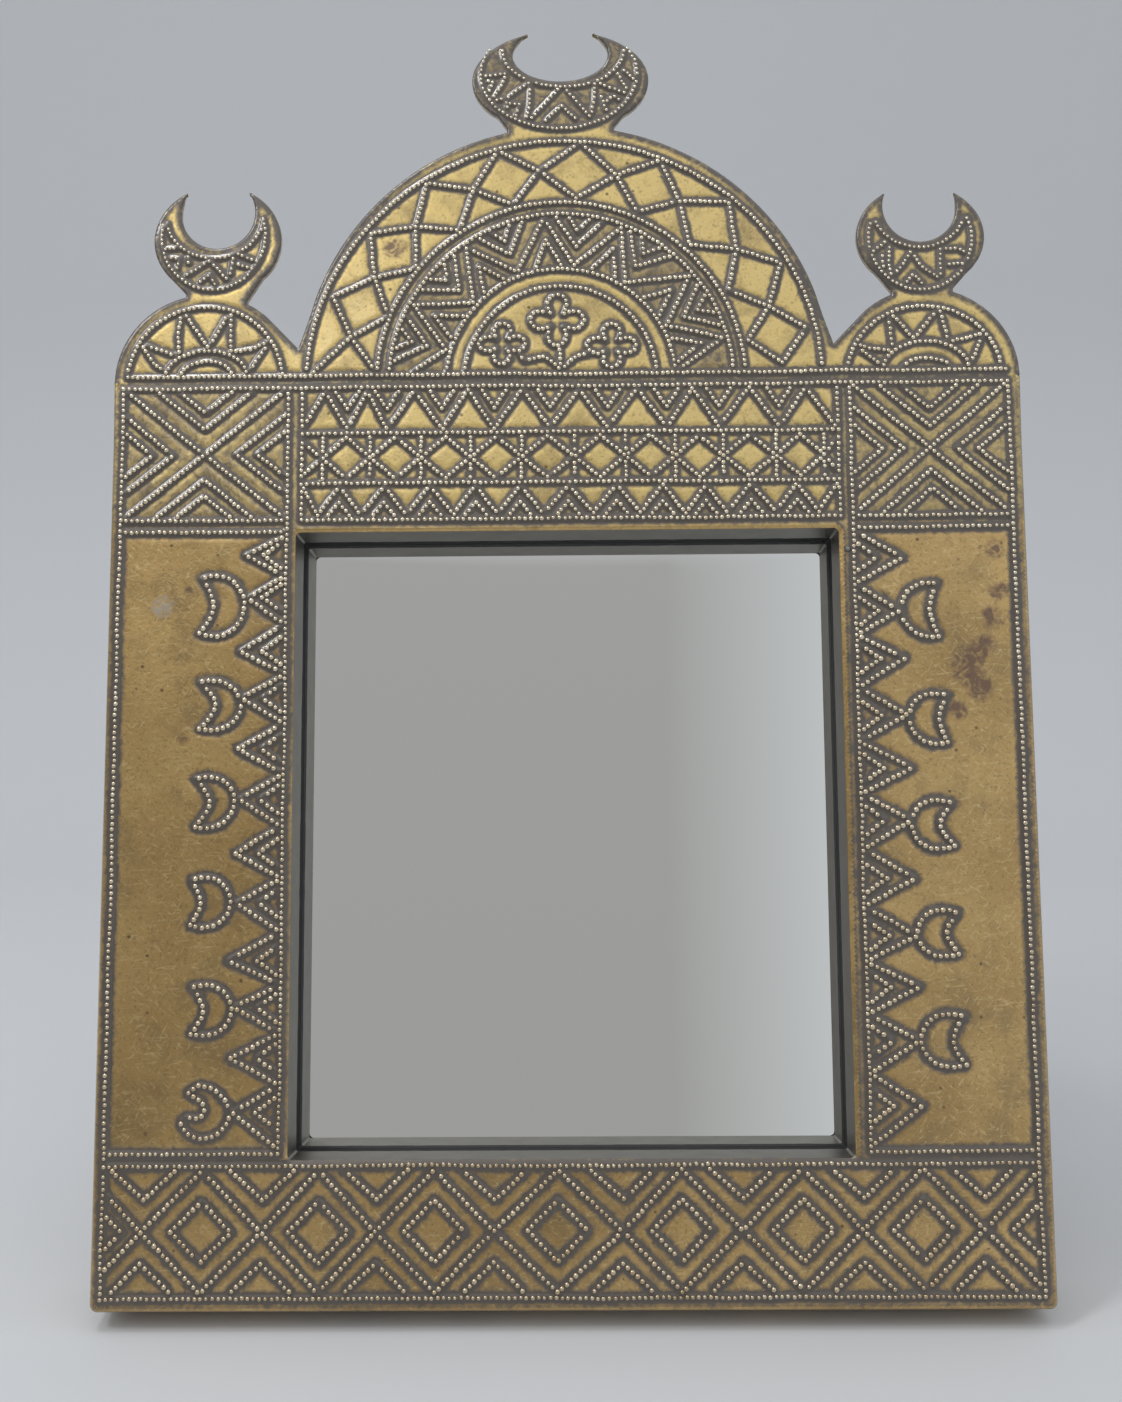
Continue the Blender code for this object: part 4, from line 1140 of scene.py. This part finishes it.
def rubbed_beads():
    """Beads: dark feet, partly dirt and partly painted shade, and tops worn to a pale yellow, painted paler
    higher up.
    """
    material, tree, shader, where = new_material("rubbed_brass_beads")
    groove = add(tree, "ShaderNodeAttribute", {"attribute_name": "groove"}).outputs["Fac"]
    wear = add(tree, "ShaderNodeTexNoise", {"Scale": per_metre(WEAR_MM), "Detail": 3.0}, {"Vector": where})
    height = add(tree, "ShaderNodeSeparateXYZ", {}, {"Vector": where}).outputs["Z"]
    # Painted light: beads higher on the panel are paler, standing for the brighter light above.
    painted_light_by_height = add(tree, "ShaderNodeMapRange", {1: 0.05, 2: 0.38, 3: -0.15, 4: 0.25}, {0: height})
    links = {0: wear.outputs["Fac"], 1: painted_light_by_height.outputs[0]}
    share = add(tree, "ShaderNodeMath", {"operation": "ADD", "use_clamp": True}, links)
    settings = {"data_type": "RGBA", 6: linear("#9C8259"), 7: linear("#F2E7CF")}
    top = add(tree, "ShaderNodeMix", settings, {0: share.outputs[0]})
    # Dark feet: partly dirt, partly painted shade in the crease round each bead.
    colour = add(tree, "ShaderNodeMix", {"data_type": "RGBA", 7: linear("#4A423A")}, {0: groove})
    tree.links.new(top.outputs[2], colour.inputs[6])
    tree.links.new(colour.outputs[2], shader.inputs["Base Color"])
    rough = add(tree, "ShaderNodeMapRange", {3: 0.24, 4: 0.46}, {0: groove})
    tree.links.new(rough.outputs[0], shader.inputs["Roughness"])
    shader.inputs["Metallic"].default_value = 1.0
    shader.inputs["Coat Weight"].default_value = 1.0
    shader.inputs["Coat Roughness"].default_value = 0.14
    return material


dress((face_bead_piece, crest_bead_piece), rubbed_beads())
print("rubbed brass on both sets of beads")

# %% [markdown]
# ## Glass and its lining
# The mirror is silvered float glass. From the front it is all reflection, so a smooth metal stands in for
# the silver behind the glass. The opening's walls are lined with tinned sheet, grey and a little wavy,
# which turns near-black and matt over its last few millimetres before the glass. The liner's strips meet in
# mitres, and small quarter rounds close these.

# %% Glass and tin
GLASS_AT = on_panel("mirror_glass").min(0)[1]
NEAR_GLASS_W, CORNER_R, CORNER_FRONT, CORNER_BACK = 5.3, 1.0, 0.6, 0.3
HAZE_MM, PATCH_MM = 45.0, 9.0


def silvered_glass():
    """A mirror with the faint haze of age."""
    material, tree, shader, where = new_material("silvered_glass")
    haze = add(tree, "ShaderNodeTexNoise", {"Scale": per_metre(HAZE_MM), "Detail": 5.0}, {"Vector": where})
    rough = add(tree, "ShaderNodeMapRange", {1: 0.55, 2: 0.8, 3: 0.015, 4: 0.06}, {0: haze.outputs["Fac"]})
    tree.links.new(rough.outputs[0], shader.inputs["Roughness"])
    shader.inputs["Base Color"].default_value = linear("#EAEBEA")
    shader.inputs["Metallic"].default_value = 1.0
    return material


def tinned_sheet():
    """Dulled tin over thin steel, near-black and matt where it meets the glass."""
    material, tree, shader, where = new_material("tinned_sheet")
    patch = add(tree, "ShaderNodeTexNoise", {"Scale": per_metre(PATCH_MM), "Detail": 5.0}, {"Vector": where})
    inward = add(tree, "ShaderNodeVectorMath", {"operation": "DOT_PRODUCT", 1: -facing}, {0: where})
    uneven = add(tree, "ShaderNodeMath", {"operation": "MULTIPLY_ADD", 1: 0.003}, {0: patch.outputs["Fac"]})
    tree.links.new(inward.outputs["Value"], uneven.inputs[2])
    # A band of the liner just before the glass is made near-black and matt.
    edge = -face_plane + (GLASS_AT - NEAR_GLASS_W) / 1000
    near_glass = add(tree, "ShaderNodeMapRange", {1: edge, 2: edge + 0.0006}, {0: uneven.outputs[0]})
    tin = add(tree, "ShaderNodeMix", {"data_type": "RGBA", 6: linear("#85837F"), 7: linear("#A3A19D")})
    tree.links.new(patch.outputs["Fac"], tin.inputs[0])
    colour = add(tree, "ShaderNodeMix", {"data_type": "RGBA", 7: linear("#232324")}, {0: near_glass.outputs[0]})
    tree.links.new(tin.outputs[2], colour.inputs[6])
    tree.links.new(colour.outputs[2], shader.inputs["Base Color"])
    metal = add(tree, "ShaderNodeMapRange", {3: 1.0, 4: 0.0}, {0: near_glass.outputs[0]})
    tree.links.new(metal.outputs[0], shader.inputs["Metallic"])
    rough = add(tree, "ShaderNodeMapRange", {3: 0.4, 4: 0.8}, {0: near_glass.outputs[0]})
    tree.links.new(rough.outputs[0], shader.inputs["Roughness"])
    bump = add(tree, "ShaderNodeBump", {"Strength": 0.2, "Distance": 0.0004}, {"Height": patch})
    tree.links.new(bump.outputs["Normal"], shader.inputs["Normal"])
    shader.inputs["Specular Tint"].default_value = linear("#D0CECB")
    return material


def liner_corners():
    """Quarter rounds that close the four mitres of the liner."""
    verts, faces = [], []
    middle = (OPEN_LOW + OPEN_HIGH) / 2
    half = (OPEN_HIGH - OPEN_LOW) / 2 - CORNER_R
    turns = np.radians(np.linspace(0.0, 90.0, 7))
    for right, up in ((1, 1), (1, -1), (-1, 1), (-1, -1)):
        start = len(verts)
        for depth in (CORNER_FRONT, GLASS_AT - CORNER_BACK):
            for a in turns:
                u = right * (OPEN_HALF - CORNER_R + CORNER_R * math.cos(a))
                verts.append((u, depth, middle + up * (half + CORNER_R * math.sin(a))))
        back = start + len(turns)
        faces += [(start + i, start + i + 1, back + i + 1, back + i) for i in range(len(turns) - 1)]
    mesh = bpy.data.meshes.new("liner_corners")
    mesh.from_pydata(verts, [], faces)
    mesh.shade_smooth()
    mesh.transform(PANEL)
    return new_piece("liner_corners", mesh, "tinned_liner")


dress([NODES["mirror_glass"]], silvered_glass())
strips = [NODES[f"liner_{side}"] for side in ("bottom", "top", "left", "right")]
dress(strips + [liner_corners()], tinned_sheet())
print("glass and liner set")

# %% [markdown]
# ## Wood, card and iron
# The frame, the back and the strut are pine that has gone brown. Sawn pine shows long bands of dark and
# pale grain, and fine fibres that run the same way. Noise that is stretched along each board gives both,
# and a sine turns the slow one into bands. The nails and the hinge are plain iron with a little rust, and
# the card is pulp with flecks.

# %% Wood, card and iron
RING_MM, FIBRE_MM, FIBRE_LONG, BANDS = 34.0, 1.4, 18.0, 70.0
RUST_MM, FLECK_MM = 5.0, 1.5


def brown_pine(name, grain, dark, pale):
    """Old pine, with its fibres along a direction."""
    material, tree, shader, where = new_material(name)
    turn = Vector((0.0, 0.0, 1.0)).rotation_difference(grain).to_euler()
    settings = {"vector_type": "TEXTURE", "Rotation": turn, "Scale": (1.0, 1.0, FIBRE_LONG)}
    longways = add(tree, "ShaderNodeMapping", settings, {"Vector": where}).outputs[0]
    drift = add(tree, "ShaderNodeTexNoise", {"Scale": per_metre(RING_MM)}, {"Vector": longways})
    settings = {"Scale": per_metre(FIBRE_MM), "Detail": 4.0}
    fibre = add(tree, "ShaderNodeTexNoise", settings, {"Vector": longways})
    bands = add(tree, "ShaderNodeMath", {"operation": "MULTIPLY", 1: BANDS}, {0: drift.outputs["Fac"]})
    ring = add(tree, "ShaderNodeMath", {"operation": "SINE"}, {0: bands.outputs[0]})
    ring_share = add(tree, "ShaderNodeMapRange", {1: -1.0, 2: 1.0, 4: 0.42}, {0: ring.outputs[0]})
    links = {0: fibre.outputs["Fac"], 2: ring_share.outputs[0]}
    share = add(tree, "ShaderNodeMath", {"operation": "MULTIPLY_ADD", 1: 0.7}, links).outputs[0]
    settings = {"data_type": "RGBA", 6: linear(dark), 7: linear(pale)}
    colour = add(tree, "ShaderNodeMix", settings, {0: share})
    tree.links.new(colour.outputs[2], shader.inputs["Base Color"])
    bump = add(tree, "ShaderNodeBump", {"Strength": 0.4, "Distance": 0.0004}, {"Height": share})
    tree.links.new(bump.outputs["Normal"], shader.inputs["Normal"])
    shader.inputs["Roughness"].default_value = 0.7
    return material


def plain_iron():
    """Iron wire and strap: dark grey, with rust in patches."""
    material, tree, shader, where = new_material("plain_iron")
    rust = add(tree, "ShaderNodeTexNoise", {"Scale": per_metre(RUST_MM), "Detail": 6.0}, {"Vector": where})
    mask = add(tree, "ShaderNodeMapRange", {1: 0.5, 2: 0.68}, {0: rust.outputs["Fac"]})
    settings = {"data_type": "RGBA", 6: linear("#8D8A86"), 7: linear("#6B4A33")}
    colour = add(tree, "ShaderNodeMix", settings, {0: mask.outputs[0]})
    tree.links.new(colour.outputs[2], shader.inputs["Base Color"])
    rough = add(tree, "ShaderNodeMapRange", {3: 0.35, 4: 0.75}, {0: mask.outputs[0]})
    tree.links.new(rough.outputs[0], shader.inputs["Roughness"])
    metal = add(tree, "ShaderNodeMapRange", {3: 1.0, 4: 0.3}, {0: mask.outputs[0]})
    tree.links.new(metal.outputs[0], shader.inputs["Metallic"])
    return material


def grey_card():
    """Pulp board with flecks."""
    material, tree, shader, where = new_material("pulp_card")
    fleck = add(tree, "ShaderNodeTexNoise", {"Scale": per_metre(FLECK_MM), "Detail": 3.0}, {"Vector": where})
    settings = {"data_type": "RGBA", 6: linear("#7C6E59"), 7: linear("#A39478")}
    colour = add(tree, "ShaderNodeMix", settings, {0: fleck.outputs["Fac"]})
    tree.links.new(colour.outputs[2], shader.inputs["Base Color"])
    shader.inputs["Roughness"].default_value = 0.9
    return material


IRON = [n for n in NODES if "nail" in n or "screw" in n or "leaf" in n or n == "hinge_pin"]
strut_points = sorted((v.co for v in NODES["strut"].data.vertices), key=lambda p: p.z)
strut_line = (strut_points[-1] - strut_points[0]) * Vector((0.0, 1.0, 1.0))
rail_pine = brown_pine("frame_pine_across", ACROSS, "#3E2A1B", "#6E4E33")
dress([NODES[n] for n in ("bottom_rail", "top_rail", "crest_board")], rail_pine)
stile_pine = brown_pine("frame_pine_upright", upward, "#3E2A1B", "#6E4E33")
dress([NODES[n] for n in ("left_stile", "right_stile")], stile_pine)
dress([NODES["back_board"]], brown_pine("back_pine", ACROSS, "#4A3423", "#80603F"))
dress([NODES["strut"]], brown_pine("strut_pine", strut_line, "#4E3725", "#8A6845"))
dress([NODES["backing_card"]], grey_card())
dress([NODES[n] for n in IRON], plain_iron())
print("iron pieces:", len(IRON))

# %% [markdown]
# ## Floor, light and camera
# Brass shows whatever it faces, so the light is a soft world that is dim below, bright above eye level and
# brighter to the right. Three small lamps from the upper left give the glints. That makes dull gold below
# and bright gold on the dome, helped by a brighter gold painted above the opening. A pale floor curves up
# behind the mirror.

# %% Stage
SWEEP_FRONT, SWEEP_BACK, SWEEP_R, SWEEP_HALF, SWEEP_TOP = -2.0, 0.75, 0.6, 5.0, 2.5
LAMP_AIM = Vector((0.0, 0.03, 0.25))


def pale_floor():
    """A floor that curves up into a backdrop."""
    turns = np.radians(range(0, 91, 6))
    bend = [(SWEEP_BACK + SWEEP_R * math.sin(a), SWEEP_R * (1 - math.cos(a))) for a in turns]
    profile = [(SWEEP_FRONT, 0.0)] + bend + [(SWEEP_BACK + SWEEP_R, SWEEP_TOP)]
    verts = [(x, y, z) for x in (-SWEEP_HALF, SWEEP_HALF) for y, z in profile]
    count = len(profile)
    faces = [(i, i + 1, count + i + 1, count + i) for i in range(count - 1)]
    mesh = bpy.data.meshes.new("pale_floor")
    mesh.from_pydata(verts, [], faces)
    mesh.shade_smooth()
    material, _, shader, _ = new_material("matt_paper")
    shader.inputs["Base Color"].default_value = linear("#CED0D3")
    shader.inputs["Roughness"].default_value = 0.9
    mesh.materials.append(material)
    floor = bpy.data.objects.new("pale_floor", mesh)
    scene.collection.objects.link(floor)


def soft_room():
    """A world that is dim below, bright above eye level and lightened to the right."""
    world = bpy.data.worlds.new("soft_room")
    world.use_nodes = True
    scene.world = world
    tree = world.node_tree
    where = add(tree, "ShaderNodeTexCoord").outputs["Generated"]
    place = add(tree, "ShaderNodeSeparateXYZ", {}, {"Vector": where})
    sideways, height = place.outputs["X"], place.outputs["Z"]
    ramp = add(tree, "ShaderNodeValToRGB", {}, {"Fac": height})
    stops = ((0.0, "#A9A9A7"), (0.43, "#ADADAC"), (0.48, "#F8FBFF"), (0.60, "#E8ECF0"), (1.0, "#FFFFFF"))
    while len(ramp.color_ramp.elements) < len(stops):
        ramp.color_ramp.elements.new(0.5)
    for element, (position, code) in zip(ramp.color_ramp.elements, stops):
        element.position, element.color = position, linear(code)
    share = add(tree, "ShaderNodeMapRange", {1: 0.06, 2: 0.20, 4: 0.8}, {0: sideways})
    settings = {"data_type": "RGBA", "blend_type": "LIGHTEN", 7: linear("#E0E4E7")}
    room = add(tree, "ShaderNodeMix", settings, {0: share.outputs[0]})
    tree.links.new(ramp.outputs["Color"], room.inputs[6])
    tree.links.new(room.outputs[2], tree.nodes["Background"].inputs["Color"])


def soft_lamp(name, at, size, power):
    """A square lamp that looks at the panel's middle."""
    light = bpy.data.lights.new(name, "AREA")
    light.size, light.energy = size, power
    lamp = bpy.data.objects.new(name, light)
    scene.collection.objects.link(lamp)
    lamp.location = at
    lamp.rotation_euler = (LAMP_AIM - Vector(at)).to_track_quat("-Z", "Y").to_euler()


pale_floor()
soft_room()
soft_lamp("window_lamp", (-0.373, -1.22, 1.31), 0.10, 0.18)
soft_lamp("sky_lamp", (-0.84, -0.57, 1.30), 0.28, 3.2)
soft_lamp("roof_lamp", (-0.42, -0.16, 1.38), 0.16, 2.0)
print("stage set")

# %% [markdown]
# The camera stands about 0.6 m in front of the mirror, a little above the middle of the glass, and looks
# down by under eight degrees. Its place and lens come from matching the panel's corners to the photograph.

# %% Camera
CAMERA_AT, CAMERA_TURN = (0.0036, -0.6152, 0.3407), (82.386, 0.507, 0.518)
CAMERA_LENS = 38.516
camera = bpy.data.objects.new("camera", bpy.data.cameras.new("camera"))
scene.collection.objects.link(camera)
camera.location = CAMERA_AT
camera.rotation_euler = [math.radians(a) for a in CAMERA_TURN]
camera.data.lens = CAMERA_LENS
scene.camera = camera
print("camera at", CAMERA_AT)

# %% [markdown]
# ## Bringing the scene up to date
# Last, Blender brings its view of the scene up to date.

# %% Update the scene
bpy.context.view_layer.update()
